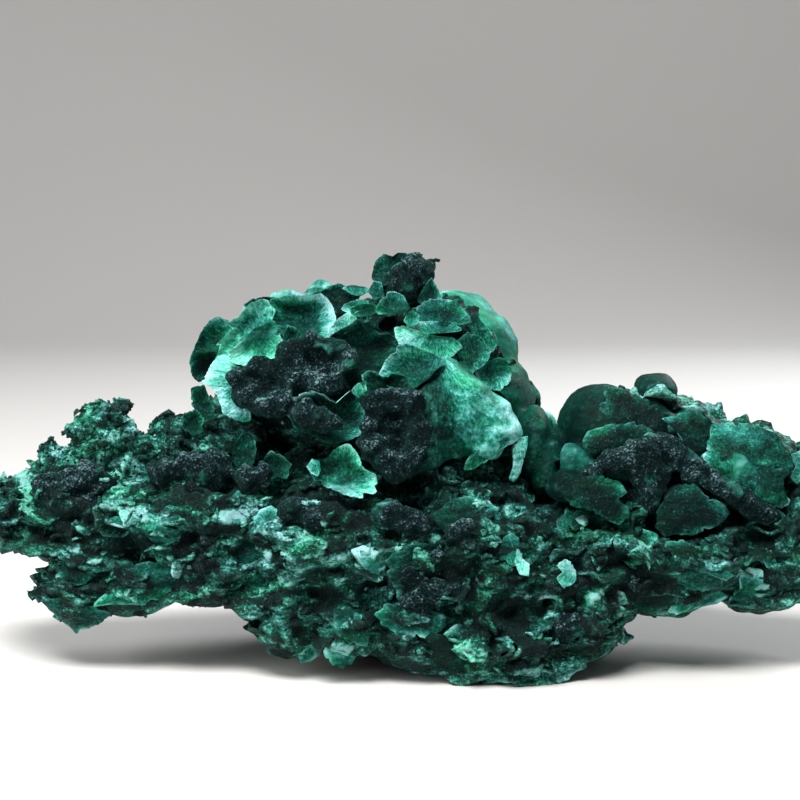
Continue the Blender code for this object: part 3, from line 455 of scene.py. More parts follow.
# Torn patches of the crust's front: how pale they are, how far they stand out, and their
# corners as (x, z) pairs.
TORN = [Torn(*row) for row in (
    # the left end and the crystalline shoulder
    (0.88, 0.8, ((-52.5, 26), (-50, 26), (-50.5, 24), (-49.7, 21.5), (-51, 21.7), (-52.7, 24))),
    (0.8, 0.4, ((-55.5, 26.4), (-52.6, 26.2), (-52.8, 25.3), (-55.5, 25.4))),
    (0.56, 0.3, ((-51, 27.2), (-49.6, 29.2), (-46, 31.2), (-44.8, 29.6), (-44, 28), (-48, 26.8))),
    (0.62, 0.2, ((-44.4, 34.8), (-42.8, 36.4), (-41.6, 36), (-42.4, 34.8), (-44, 33.6))),
    (0.66, 0.3, ((-39.6, 35.6), (-38, 34.6), (-34, 32.8), (-33.8, 31.6), (-37, 33.2), (-39, 34.2))),
    (0.34, 0.8, ((-40, 29.8), (-39.6, 31.3), (-38.5, 31.1), (-38.1, 29.6))),
    (0.56, 0.5, ((-36.8, 29.7), (-35.4, 30.7), (-33.6, 30.4), (-33.6, 29.7))),
    (0.84, 0.4, ((-29.8, 29.9), (-28, 30.6), (-26, 30.7), (-26.2, 29.9))),
    # the torn patch in the middle of the left arm, with its emerald window
    (0.78, 0.8, ((-41.7, 27.7), (-41, 29.5), (-39.9, 30.1), (-39.7, 29.2), (-40.8, 27.6))),
    (0.88, 0.9, ((-40.8, 27.2), (-39.4, 28.8), (-35, 29.2), (-35, 28.3), (-37.6, 27.4), (-38, 26.7))),
    (0.52, 0.3, ((-37.5, 26.4), (-37.4, 28.3), (-35.2, 28.5), (-33.4, 25.7), (-35.8, 25.6))),
    (0.72, 0.9, ((-40.6, 24.9), (-38, 27), (-36.2, 25.2), (-36, 24), (-37.8, 22.4), (-40.4, 22.7))),
    (0.5, 0.6, ((-37, 24.6), (-35.4, 24.2), (-33.4, 23.2), (-33.6, 22.2), (-36.2, 22.8))),
    (0.92, 1, ((-38, 22.7), (-35, 23), (-33.6, 21.6), (-36.2, 21.4), (-38, 22))),
    (0.42, 1.6, ((-40.5, 21.3), (-38.6, 21.6), (-34, 20.8), (-34, 20.1), (-38.4, 20.5))),
    (0.66, 0.8, ((-34, 20.4), (-31.6, 20.2), (-30.2, 18.8), (-32.4, 17.2), (-33.2, 18.8))),
    (0.76, 0.8, ((-31.7, 20.9), (-31.2, 22), (-30, 21.9), (-27.4, 20.4), (-27.8, 19.6), (-30.4, 20.8))),
    (0.84, 0.8, ((-43.8, 20.2), (-42.4, 20.5), (-41.8, 19.6), (-42, 18.6), (-43, 19.2))),
    (0.74, 0.6, ((-45.2, 17.1), (-43.2, 18.1), (-42.9, 16.4), (-44, 16.7))),
    (0.86, 0.7, ((-42.4, 15.2), (-41.6, 16), (-40, 16), (-40.6, 14.8))),
    # its lower edge
    (0.3, 0.4, ((-55, 19), (-50, 18.6), (-46, 17), (-47, 16), (-52, 16.4), (-55, 17))),
    (0.46, 0.3, ((-50.6, 14.6), (-49.2, 14.9), (-49, 13.5), (-50.2, 13))),
    (0.48, 0.3, ((-49, 10.8), (-48, 10.4), (-46.6, 8.6), (-47.4, 8.2), (-48.8, 9.6))),
    (0.56, 0.5, ((-38.2, 11.6), (-37.4, 13), (-33.8, 13), (-34.4, 11.4), (-36, 10), (-37.8, 10.4))),
    (0.62, 0.6, ((-34.6, 8), (-33.4, 9.4), (-31.6, 9.3), (-31.6, 7.6), (-33.8, 7))),
    (0.52, 0.4, ((-26.6, 12.8), (-25.4, 12.6), (-24.6, 11.2), (-25.8, 11.2))),
    (0.56, 0.7, ((-23.6, 12.2), (-20.4, 13.4), (-16, 13.1), (-12.6, 15.2), (-13.4, 13.6), (-20, 10.8))),
    # the middle, above the layers
    (0.9, 1, ((-24.6, 22.1), (-24, 23), (-19.2, 22.6), (-20.6, 21.2), (-22.4, 20.9), (-23.4, 21.7))),
    (0.52, 0.3, ((-22.4, 25), (-19.8, 26.2), (-17, 24.9), (-18, 22.8), (-20, 22.6), (-20.8, 23.9))),
    (0.76, 1, ((-19.4, 22.2), (-15.2, 21.8), (-15.6, 20.1), (-17, 19.3), (-20.2, 20.1))),
    (0.8, 0.4, ((-11.5, 23.2), (-10.4, 22.6), (-11, 22.3))),
    (0.58, 0.6, ((-13, 22.3), (-9.4, 21.9), (-10, 21), (-12, 21.4))),
    (0.56, 1, ((-17.4, 19.4), (-14, 21.2), (-9.6, 19.8), (-9.6, 18), (-14, 17), (-16.2, 17.8))),
    (0.34, 0.8, ((-14.2, 17.2), (-9.8, 17.8), (-6.4, 18.2), (-6.6, 16.6), (-12, 15.6))),
    (0.84, 0.5, ((-18, 17.5), (-17.1, 17.5), (-17.3, 16), (-18, 16.2))),
    (0.74, 0.8, ((-15, 14.4), (-13.6, 15.8), (-12.4, 16), (-12.8, 14.6), (-14.4, 13.8))),
    (0.6, 0.5, ((-9.8, 16.4), (-8.3, 17), (-7.9, 16), (-9.2, 15.6))),
    (0.44, 0.5, ((-8.8, 15), (-8, 15.6), (-7.2, 14.4), (-7.3, 12.8), (-8.5, 12.8))),
    (0.78, 0.9, ((-9, 25.9), (-7.4, 25.7), (-4.8, 26.6), (-4.4, 25.2), (-7.2, 24.2))),
    (0.54, 0.5, ((-8, 22.6), (-6.6, 23.1), (-6.4, 21.9), (-7.4, 21.4))),
    (0.54, 0.5, ((-3.8, 23.5), (-2.6, 23.5), (-2.5, 21.8), (-3.4, 22))),
    (0.92, 1.1, ((-6.3, 18.7), (-5.4, 19.4), (-3.6, 18.5), (0.6, 19.4), (0.2, 18), (-2.2, 17),
     (-5.2, 17.2))),
    (0.88, 1, ((-5, 17.6), (-1.8, 17.4), (-2.1, 15.1), (-3.4, 15.4), (-4.8, 16.4))),
    (0.92, 0.9, ((2.7, 19.7), (3.4, 20.3), (5.4, 20.1), (5.2, 18.4), (4, 18.6))),
    (0.46, 0.4, ((3, 20.2), (5.2, 21.6), (5.8, 20.6), (5.4, 20))),
    (0.42, 0.8, ((10.4, 20.4), (10.6, 23), (12, 23.8), (13.6, 22.2), (13.6, 20), (11.4, 19))),
    (0.8, 0.8, ((8.8, 25.3), (10, 25.5), (13.6, 22.8), (13.2, 22.2), (11.4, 23.4), (9.2, 24.1))),
    (0.54, 0.5, ((10, 25.2), (11.6, 26.6), (12.3, 28.2), (11.6, 28), (10.4, 26.2))),
    (0.78, 0.7, ((13.5, 23), (16.4, 23.6), (17.1, 23.2), (15.6, 21.8), (14.2, 21.8))),
    (0.84, 0.6, ((18.1, 19.7), (18.7, 19.5), (19.3, 18.2), (18.6, 17.8))),
    (0.4, 0.5, ((12.1, 14), (13, 14.6), (13.8, 13), (13.6, 11.6), (12.8, 11.6))),
    # the foot of the middle
    (0.32, 0.6, ((-9, 11.2), (-5.4, 11.2), (-4.6, 9), (-5, 6.4), (-7.8, 6.4), (-8.6, 9))),
    (0.92, 1, ((-9.8, 5.4), (-8.8, 6.4), (-7.4, 6.3), (-6.2, 5), (-7.6, 2.6), (-9.2, 2.8))),
    (0.68, 0.7, ((-14, 4), (-12.2, 4.8), (-10.6, 4.7), (-10.6, 3.5), (-13.2, 2.4))),
    (0.64, 0.4, ((-15.6, 6.4), (-14.3, 10), (-13.8, 9.4), (-14.6, 5), (-15.5, 5))),
    (0.52, 0.9, ((-3.8, 8.5), (-1.6, 8.5), (2, 7.4), (1.6, 6.5), (-0.4, 6.7), (-2.6, 7.6))),
    (0.6, 0.8, ((0.7, 11.4), (1.3, 9.2), (3.8, 9.3), (3.8, 8.7), (1.6, 8.7), (0.6, 10))),
    (0.64, 0.7, ((2.5, 12.4), (4.4, 12.8), (6.2, 10.9), (4.8, 10.6), (4, 11.8))),
    (0.8, 0.9, ((5.3, 6.9), (7, 5.6), (9.4, 7.3), (9.6, 5.4), (8, 3.8), (6.2, 5.4))),
    (0.78, 0.7, ((9.6, 4.9), (11.5, 5.4), (12, 3.7), (10, 3.8))),
    (0.48, 0.5, ((12.2, 4.7), (13.8, 4.6), (13.6, 3), (12, 3.2))),
    (0.58, 0.5, ((1.3, 4.8), (2.6, 5.6), (3.2, 4.2), (4.8, 3.2), (3.4, 2.6), (1.7, 3.4))),
    (0.8, 0.5, ((14.5, 6.2), (15.6, 5.9), (15.4, 5), (14.7, 5.2))),
    (0.8, 0.9, ((18.7, 11.4), (19.4, 12), (21.4, 11.7), (21.8, 10.3), (20.4, 9.8), (20, 11))),
    (0.82, 0.8, ((18.2, 7.7), (19.8, 9.8), (21.2, 9.4), (20, 8.8))),
    (0.64, 0.8, ((24.6, 11.8), (27.8, 13.2), (27.9, 12), (24.8, 10.8))),
    (0.66, 0.5, ((1.4, 1.4), (4, 1.6), (8, 0.9), (8, 0), (2.6, 0))),
    (0.56, 0.6, ((8.6, 2.8), (14, 1.9), (19.2, 2.7), (19.6, 1.6), (14, 0), (9, 0))),
    (0.46, 0.5, ((21.2, 2.8), (25, 3), (28.4, 4.6), (28.4, 2.8), (22, 1))),
    # the flaky cap over the dark domes, and the slope that falls away to the right
    (0.62, 0.5, ((31, 37.2), (33.3, 38.2), (34.2, 38.9), (37.2, 38.7), (38.9, 37.9), (38, 36), (33, 36))),
    (0.9, 0.6, ((32.6, 36.8), (36.4, 37.2), (38.4, 37.3), (38.3, 36.4), (36, 35.4), (34.2, 35.7))),
    (0.8, 0.4, ((38.5, 36.8), (42, 35.6), (42, 34.8), (39, 35.8))),
    (0.72, 0.5, ((41.9, 35.9), (43.4, 36), (45.3, 35.1), (44.8, 34.2), (43.5, 33.2), (42.2, 34.2))),
    (0.24, 0.3, ((44.9, 35), (47.8, 34.4), (49.8, 33.6), (51, 32.4), (49, 32), (46.6, 32.8))),
    (0.58, 0.5, ((50.6, 32.6), (52.4, 31.8), (54.6, 31.2), (56.4, 30), (55.4, 28.8), (52.4, 29.8))),
    # under the domes and along the right foot
    (0.26, 0.6, ((22, 17.6), (22.6, 19.8), (24, 20.8), (27.8, 20.6), (29.2, 18.2), (26, 16.6))),
    (0.36, 0.6, ((29.5, 16.8), (31.4, 18.4), (35.2, 17.2), (35.4, 14.8), (31.6, 16.4))),
    (0.92, 0.8, ((31.4, 18.8), (33, 18.7), (33.6, 18), (32.2, 18))),
    (0.92, 0.8, ((46.8, 12.1), (49.2, 12.9), (50.8, 12.3), (49.6, 11.4), (47.4, 11.4))),
    (0.68, 0.7, ((45.8, 11.2), (49.4, 11.2), (48.6, 8.2), (46, 8.4))),
    (0.48, 0.6, ((27, 4.8), (31, 6.8), (36, 8.3), (46, 9.2), (46, 7.6), (36, 5.6), (29, 3.6))),
)]

# Plates that stand out of the crust's layers, and torn leaves across its front.
LEDGES = [Shell(*row) for row in (
    (-53, -6, 23, 0, 74, 0, 6, 5, -0.8, (0, 0.5), 0.5, 4, 0.24),
    (-46, -8, 19, 0, 66, 0, 9, 6.5, -0.8, (0, 0.5), 0.5, 5, 0.26),
    (-37.5, -9.4, 21.6, 0, 64, -4, 5, 4, -0.5, (0, 0.5), 0.5, 5, 0.4),
    (-40, -8, 14, 0, 68, 0, 9, 6, -0.8, (0, 0.5), 0.5, 5, 0.2),
    (-26, -12, 17, 0, 64, 0, 6, 5, -0.8, (0, 0.5), 0.5, 5, 0.24),
    (-20, -12.5, 22.6, 0, 58, 6, 6, 4.6, -0.8, (0, 0.5), 0.5, 5, 0.6),
    (-12, -15, 18, 0, 60, 8, 7, 4.6, -0.8, (0, 0.5), 0.5, 5, 0.44),
    (-19, -13, 12.6, 0, 70, 0, 6, 4.6, -0.8, (0, 0.5), 0.5, 5, 0.26),
    (-3, -17, 7.6, 0, 52, 10, 5, 4, -0.8, (0, 0.5), 0.5, 5, 0.36),
    (9, -18.4, 5, 0, 40, 0, 8, 4, -1.2, (0, 0.5), 0.4, 5, 0.36),
    (17, -18.4, 4, 6, 36, 0, 7, 4, -1, (0, 0.5), 0.4, 5, 0.4),
    (24.6, -16.6, 9.6, 10, 40, 6, 5, 3.6, -1, (0, 0.5), 0.4, 4, 0.24),
    (51, -9.6, 13.6, 10, 60, 0, 6, 4.6, -0.8, (0, 0.5), 0.5, 5, 0.2),
    (-36, 10, 20, 180, 62, 0, 10, 6.5, -0.8, (0, 0.5), 0.5, 5, 0.3),
    (-14, 17, 20, 180, 60, 0, 10, 6.5, -0.8, (0, 0.5), 0.5, 5, 0.34),
    (6, 19, 22, 180, 56, 0, 10, 6.5, -0.8, (0, 0.5), 0.5, 5, 0.26),
    (28, 16, 17, 180, 58, 0, 10, 6.5, -0.8, (0, 0.5), 0.5, 5, 0.36),
    (46, 11, 18, 180, 60, 0, 9, 6, -0.8, (0, 0.5), 0.5, 5, 0.3),
    (-4, 17, 10, 180, 58, 0, 10, 6, -0.8, (0, 0.5), 0.5, 5, 0.24),
)]

# Velvet growth: lumpy mounds, several of them sunken in the middle.
VELVET_GROWTHS = [Lump(*row) for row in (
    # the ring at the rosette's left, and the one above it
    (-21, -14.2, 40.4, 1.7, 1.8, 2, 0), (-20.4, -15.2, 38.2, 1.9, 2, 1.8, 0),
    (-18.2, -16, 37, 2.1, 2, 1.7, 0), (-15.8, -16, 37.6, 1.8, 2, 1.7, 0),
    (-14.9, -15, 39.5, 1.6, 1.8, 1.8, 0), (-16.6, -14.2, 41.2, 1.8, 1.8, 1.3, 0),
    (-19, -13.6, 41.5, 1.8, 1.8, 1.4, 0), (-18.2, -13, 39.2, 3.2, 1.8, 2.4, 0),
    (-14.2, -12.4, 43.6, 1.8, 1.9, 1.8, 0), (-11.8, -12.2, 44.6, 2, 1.9, 1.6, 0),
    (-9, -12.2, 43.8, 2, 1.9, 1.9, 0), (-7.4, -13, 41.8, 1.7, 1.9, 2, 0),
    (-8.4, -13.8, 39.8, 1.9, 1.9, 1.7, 0), (-11, -14.6, 39.4, 2.2, 2, 1.7, 0),
    (-13.4, -13.8, 40.7, 2, 1.9, 1.8, 0), (-11, -11.6, 41.8, 3.4, 1.9, 2.6, 0),
    # the lump in the cup, and the hollow cushion right of it
    (-12.4, -17.6, 36.6, 1.7, 1.6, 1.5, 0), (-10.6, -18.4, 35.9, 1.8, 1.6, 1.7, 0),
    (-9.2, -18.6, 34.8, 1.5, 1.4, 1.4, 0), (-11.4, -18.2, 34.7, 1.8, 1.4, 1.4, 0),
    (-3.5, -17.2, 37.2, 1.8, 1.8, 1.8, 0), (-1.1, -17.2, 38, 2, 1.8, 1.5, 0),
    (1.4, -17, 37, 1.7, 1.8, 1.9, 0), (2.4, -17.2, 34.4, 1.5, 1.8, 2.2, 0),
    (2.2, -17.8, 31.4, 1.6, 1.8, 2.2, 0), (0.4, -18.2, 28.9, 1.9, 1.8, 1.6, 0),
    (-1.9, -18.2, 29.4, 1.8, 1.8, 1.7, 0), (-3.5, -17.8, 32, 1.5, 1.8, 2, 0),
    (-3.9, -17.4, 34.8, 1.5, 1.8, 2, 0), (-0.7, -15.4, 33.2, 3.4, 2.2, 4.6, 0),
    # the knob's dark side
    (1.9, -2.2, 53.5, 2.4, 2.6, 2.7, 0), (0.6, -2.6, 51.6, 2.4, 2.2, 1.8, 0),
    # the left arm
    (-47.2, -9.2, 24.8, 2.6, 2.4, 1.9, 0), (-44.8, -10.2, 25.2, 2.6, 2.4, 2.8, 0),
    (-42.2, -10.2, 26.3, 2.4, 2.4, 2.3, 0), (-40.2, -10.2, 25.2, 2.2, 2.2, 1.9, 0),
    (-42.6, -10.5, 23.3, 3, 2.2, 2.1, 0), (-31.8, -11, 27.4, 2.4, 2.4, 2, 0),
    (-28.2, -11.8, 28.4, 2.6, 2.4, 2.2, 0), (-25, -12, 27.6, 2.4, 2.4, 2.7, 0),
    (-27.2, -12.2, 25.2, 2.8, 2.2, 2, 0), (-20.4, -13.6, 26.6, 2, 2.2, 2.2, 0),
    (-18.4, -14, 27.6, 1.8, 2, 1.5, 0),
    # the crust's front
    (-13.2, -17, 23, 2.6, 2, 2, 0), (-10.6, -18, 21.6, 2.3, 2, 1.9, 0), (-0.8, -19.8, 22.6, 2.6, 2, 1.8, 0),
    (1.8, -20.2, 21.6, 2.2, 2, 1.6, 0), (7.4, -21.2, 20.7, 2.1, 1.6, 1.9, 0),
    (8.8, -21.2, 19.2, 1.4, 1.5, 1, 0), (0.8, -21.4, 15, 1.9, 1.5, 2.1, 0),
    (2, -21.5, 12.4, 1.5, 1.4, 1.8, 0), (4.2, -21.8, 13.5, 2, 1.4, 1.1, 0),
    (6.7, -21.7, 13, 1.7, 1.4, 1, 0), (3.4, -21.7, 17.5, 2.2, 1.3, 0.9, 0),
    (2.8, -21.2, 10.7, 1.4, 1.3, 1.2, 0), (-13, -14.8, 11.6, 2.4, 2.2, 2.8, 0),
    (-11, -15.4, 8.6, 2.4, 2, 2.2, 0), (22.4, -17.8, 7.6, 3.2, 2.2, 2.4, 0),
    # the dark ridge that runs across the right lobes
    (25.9, -12.6, 27.4, 1.9, 1.6, 1.1, -20), (28.3, -12.4, 28.6, 2.2, 1.9, 1.5, -20),
    (30.9, -11.8, 29.4, 2.4, 2.6, 2.2, -20), (33.3, -11.4, 30.2, 2.6, 2.8, 2.4, -20),
    (35.3, -11.2, 31, 1.8, 2.4, 1.9, 0), (37.4, -11.8, 29.8, 2.2, 2.2, 2, 25),
    (39.6, -12.8, 28, 2.3, 2, 1.7, 35), (41.8, -13.6, 26.6, 2.4, 2, 1.5, 35),
    (44.2, -13.8, 25, 2.4, 2, 1.6, 30), (46.6, -13.2, 23.4, 2.4, 2, 1.7, 30),
    (49.2, -12.4, 22, 2.2, 1.8, 1.5, 30), (33.5, -12.6, 27.4, 2.8, 2.2, 2.4, 0),
    (33.9, -13, 24.6, 1.7, 1.8, 2.4, 0),
    # the back
    (18, 19, 24, 4.4, 2.4, 3.4, 0), (21.5, 17.6, 26, 3, 2.4, 2.6, 0), (-24, 12.6, 27, 4.4, 2.4, 3, 0),
    (-20.5, 13.6, 25, 3, 2.4, 2.4, 0),
)]

# The big bulge of the rosette, whose fibres and folds fan out from one point.
BULGE = [Lump(*row) for row in (
    (7.4, -9.6, 35, 4.6, 6.8, 7.4, 0), (4.8, -10.6, 34, 3, 5.6, 6.8, 0), (7.4, -9, 39.4, 3.8, 4.8, 3, 34),
    (11.4, -9.6, 34.2, 3, 4.4, 2.6, -6), (12.4, -9.8, 32.6, 2.6, 4.2, 1.7, -6),
    (10.6, -10, 31, 2.8, 4.6, 2, -30), (6, -11.2, 29.6, 3.4, 4.4, 2.5, 0),
)]
BULGE_ROOT = (4.2, 44.6)

# Pale places at the top, the ends and the back, then the places under dark velvet.
PALE = [Patch(*row) for row in (
    (-56, 0, 24, 5), (-44, 9, 22, 5), (-30, 13, 16, 4.5), (-12, 17, 24, 5), (-2, 18, 12, 5),
    (16, 19, 12, 5), (30, 15, 22, 5), (48, 11, 20, 5), (57, 2, 22, 5), (46, 2, 33, 4),
)]

VELVET = [Patch(*row) for row in (
    (-45, -11, 23.6, 6), (-27, -13, 26.5, 6.5), (-19, -14, 27, 4.5), (-6, -18, 23.5, 4.5),
    (3, -20, 22, 4.5), (7, -21, 14, 6), (-9, -16, 10, 5), (23, -18, 8, 5), (31, -12, 26, 6),
    (44, -13, 23, 5), (-38, -9, 10.5, 5), (34, -15, 14, 5),
)]

# The caves under the rosette, and dents in the crust's front.
HOLLOWS = [Dent(*row) for row in (
    (-11, -17, 32, 9, 8, 3, 7), (1, -18, 26.6, 5.5, 9, 2.4, 7), (10, -17, 28.4, 3.4, 9, 2.4, 6),
    (14, -15, 23, 2.6, 8, 2.6, 5), (33, -19, 20.4, 2.4, 6, 2.4, 4), (17, -22, 9.6, 5, 6, 2, 4),
    (36, -17, 9.6, 4, 6, 1.8, 3.5), (48, -15, 19, 4, 6, 2, 4),
)]

# ---------------------------------------------------------------- noise and small geometry


def hashed(cell, seed):
    """A fixed pseudo-random number from -1 to 1 for each whole-number cell."""
    mixed = cell[:, 0] * 73856093 ^ cell[:, 1] * 19349663 ^ cell[:, 2] * 83492791
    mixed = (mixed ^ seed * 40503 ^ mixed >> 13) * 1274126177
    return ((mixed ^ mixed >> 16) & 0xFFFF) / 32767.5 - 1.0


def swell(points, size, seed=0):
    """Smooth noise from -1 to 1, with bumps about size across."""
    scaled = np.asarray(points, float) / size + 0.37 * seed
    cell = np.floor(scaled).astype(np.int64)
    part = scaled - cell
    part = part * part * (3.0 - 2.0 * part)
    total = np.zeros(len(scaled))
    for corner in itertools.product((0, 1), repeat=3):
        weight = np.prod(np.where(corner, part, 1.0 - part), axis=1)
        total += weight * hashed(cell + np.array(corner), seed)
    return total


def rough(points, size, seed=0, octaves=3):
    """Noise with finer and finer bumps on top of those of the first size."""
    total = np.zeros(len(points))
    for octave in range(octaves):
        total += swell(points, size / 2.0**octave, seed + octave * 17) / 1.8**octave
    return total


def layer_bend(points):
    """How far the crust's layers have risen, since they curve up towards both ends."""
    return LAYER_RISE * (points[:, 0] - LAYER_CENTRE) ** 2


def chunked(points, size, seed=0):
    """Ragged cells of about this size, flattened along the layers.

    Returns each point's cell value from -1 to 1, its offset from the cell's middle, and how far
    it is from the crack to the next cell, in shares of the cell size.
    """
    bent = points[:, 2] - layer_bend(points)
    scaled = np.stack([points[:, 0], points[:, 1], 1.7 * bent], axis=1) / size
    warp = [0.35 * swell(points, 0.6 * size, seed + shift) for shift in (61, 62, 63)]
    scaled = scaled + np.stack(warp, axis=1)
    cell = np.floor(scaled).astype(np.int64)
    first = np.full(len(scaled), 9.0)
    second = np.full(len(scaled), 9.0)
    value = np.zeros(len(scaled))
    middle = np.zeros_like(scaled)
    for shift in itertools.product((-1, 0, 1), repeat=3):
        other = cell + np.array(shift)
        jitter = np.stack([hashed(other, seed + axis) for axis in (71, 72, 73)], axis=1)
        centre = other + 0.5 + 0.42 * jitter
        away = np.linalg.norm(scaled - centre, axis=1)
        nearer = away < first
        second = np.where(nearer, first, np.minimum(second, away))
        first = np.where(nearer, away, first)
        value = np.where(nearer, hashed(other, seed + 74), value)
        middle = np.where(nearer[:, None], centre, middle)
    return value, scaled - middle, second - first


def ramp(values, low, high):
    """0 below low, 1 above high, and smooth between them."""
    share = np.clip((np.asarray(values, float) - low) / (high - low), 0.0, 1.0)
    return share * share * (3.0 - 2.0 * share)


def facing(azimuth, elevation, spin):
    """The turn that carries local +Z to the direction of azimuth and elevation, in degrees."""
    tip = Matrix.Rotation(math.radians(90 - elevation), 3, "X")
    turn = Matrix.Rotation(math.radians(azimuth), 3, "Z")
    roll = Matrix.Rotation(math.radians(spin), 3, "Z")
    return np.array(turn @ tip @ roll)


def unit(vectors):
    return vectors / np.linalg.norm(vectors, axis=1)[:, None]


def nearness(points, patches):
    """1 at the middle of the nearest patch and 0 beyond its radius."""
    found = np.zeros(len(points))
    for patch in patches:
        away = np.linalg.norm(points - np.array([patch.x, patch.y, patch.z]), axis=1)
        found = np.maximum(found, 1.0 - away / patch.radius)
    return np.clip(found, 0.0, 1.0)


def depth_inside(x, z, corners):
    """How deep each place lies inside an outline, negative outside it."""
    start = np.array(corners, float)
    along = np.roll(start, -1, axis=0) - start
    offset = np.stack([x, z], axis=1)[:, None, :] - start
    share = np.clip((offset * along).sum(axis=2) / (along**2).sum(axis=1), 0.0, 1.0)
    away = np.linalg.norm(offset - share[:, :, None] * along, axis=2).min(axis=1)
    above = offset[:, :, 1] > 0.0
    after = np.roll(above, -1, axis=1)
    slope = along[:, 0] / np.where(along[:, 1] == 0.0, 1e-9, along[:, 1])
    crossed = (above != after) & (offset[:, :, 0] < offset[:, :, 1] * slope)
    return np.where(crossed.sum(axis=1) % 2 == 1, away, -away)


def over_box(points, low, high):
    """True where a point lies over the box from low to high in x and z."""
    x, z = points[:, 0], points[:, 2]
    return (x > low[0]) & (x < high[0]) & (z > low[1]) & (z < high[1])


def torn_patches(points):
    """For places on the crust: the patches' tone, how much they cover, how far they stand."""
    tone, cover, stand = (np.zeros(len(points)) for _ in range(3))
    ragged = 0.30 * rough(points, 1.7, 51) + 0.10
    for patch in TORN:
        corners = np.array(patch.corners, float)
        low, high = corners.min(axis=0) - 1.0, corners.max(axis=0) + 1.0
        near = over_box(points, low, high) & (points[:, 1] < 2.0)
        x, z = points[near, 0], points[near, 2]
        share = ramp(depth_inside(x, z, patch.corners) + ragged[near], -0.10, 0.25)
        tone[near] += (patch.tone - tone[near]) * share
        stand[near] += (patch.stand - stand[near]) * share
        cover[near] = np.maximum(cover[near], share)
    return tone, cover, stand


# ---------------------------------------------------------------- joining forms into pieces


def inside_box(points):
    """Points brought back inside the solid's box, in millimetres."""
    low = np.array(CAD_LOW) / MM + BOX_MARGIN
    high = np.array(CAD_HIGH) / MM - BOX_MARGIN
    return np.clip(points, low, high)


def look_of(rim, tone, velvet=0.0):
    """The channels of "look" at each vertex: rim, tone, velvet and a full fourth one."""
    return np.stack(np.broadcast_arrays(rim, tone, velvet, 1.0), axis=1)


def rays(across, up, level):
    """Fibre places that change little along each straight line out of a root."""
    away = np.hypot(across, up) + 1e-6
    return np.stack([across / away, up / away, level], axis=1)


def write_attributes(mesh, look, fibre):
    colours = mesh.color_attributes.new("look", "FLOAT_COLOR", "POINT")
    colours.data.foreach_set("color", look.astype(np.float32).ravel())
    vectors = mesh.attributes.new("fibre", "FLOAT_VECTOR", "POINT")
    vectors.data.foreach_set("vector", fibre.astype(np.float32).ravel())


def carried(piece, material):
    """The piece with its material, riding on the specimen in its slot."""
    piece.data.materials.clear()
    piece.data.materials.append(material)
    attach(piece, "root")
    return piece


def joined(name, forms, material):
    """All the forms in one mesh object."""
    offset = 0
    faces = []
    for form in forms:
        for kind in form.faces:
            faces += (kind + offset).tolist()
        offset += len(form.points)
    points, look, fibre = (
        np.concatenate([getattr(form, part) for form in forms]) for part in ("points", "look", "fibre")
    )
    mesh = bpy.data.meshes.new(name)
    mesh.from_pydata((inside_box(points) * MM).tolist(), [], faces)
    mesh.shade_smooth()
    write_attributes(mesh, look, fibre)
    piece = bpy.data.objects.new(name, mesh)
    bpy.context.scene.collection.objects.link(piece)
    return carried(piece, material)


def sandwich(count):
    """Faces of a square grid's front and back, and of the strip that joins their borders."""
    index = np.arange(count * count).reshape(count, count)
    a, b = index[:-1, :-1].ravel(), index[1:, :-1].ravel()
    c, d = index[1:, 1:].ravel(), index[:-1, 1:].ravel()
    front = np.stack([a, b, c, d], axis=1)
    back = np.stack([d, c, b, a], axis=1) + count * count
    loop = np.concatenate([index[:-1, 0], index[-1, :-1], index[:0:-1, -1], index[0, :0:-1]])
    after = np.roll(loop, -1)
    side = np.stack([after, loop, loop + count * count, after + count * count], axis=1)
    return np.concatenate([front, back, side])


def disc_grid(count):
    """A square grid rounded into the unit disc: u, v and the distance from its middle."""
    line = np.linspace(-1.0, 1.0, count)
    s, t = (part.ravel() for part in np.meshgrid(line, line, indexing="ij"))
    u = s * np.sqrt(1.0 - t * t / 2.0)
    v = t * np.sqrt(1.0 - s * s / 2.0)
    return u, v, np.hypot(u, v)


# ---------------------------------------------------------------- leaves and scales


def own_seed(x, z):
    """A fixed seed for the leaf at this place."""
    return int(abs(x * 13 + z * 7)) % 997


def rim_places(angle, seed):
    """Places round a circle, at a level of its own for each seed, for noise that closes."""
    return np.stack([np.cos(angle), np.sin(angle), np.full_like(angle, seed * 0.31)], axis=1)


def broken_outline(angle, least, seed):
    """A rim of a few straight breaks with blunt corners and one notch, as shares of a radius.

    least is how near the middle a break may come.
    """
    rng = np.random.default_rng(seed)
    turns = np.arange(OUTLINE_SIDES) + rng.uniform(-0.33, 0.33, OUTLINE_SIDES)
    sides = turns * 2.0 * math.pi / OUTLINE_SIDES
    far = rng.uniform(least, 1.03, OUTLINE_SIDES)
    closeness = np.maximum(np.cos(angle[:, None] - sides[None, :]), 0.02)
    reach = np.sum((closeness / far[None, :]) ** 9.0, axis=1) ** (-1.0 / 9.0)
    notch = math.pi * rng.uniform(-1.0, 1.0)
    gap = np.abs(np.angle(np.exp(1j * (angle - notch))))
    notched = 1.0 - rng.uniform(0.05, 0.30) * np.exp(-((gap / 0.16) ** 2))
    return np.minimum(reach, 1.12) * notched


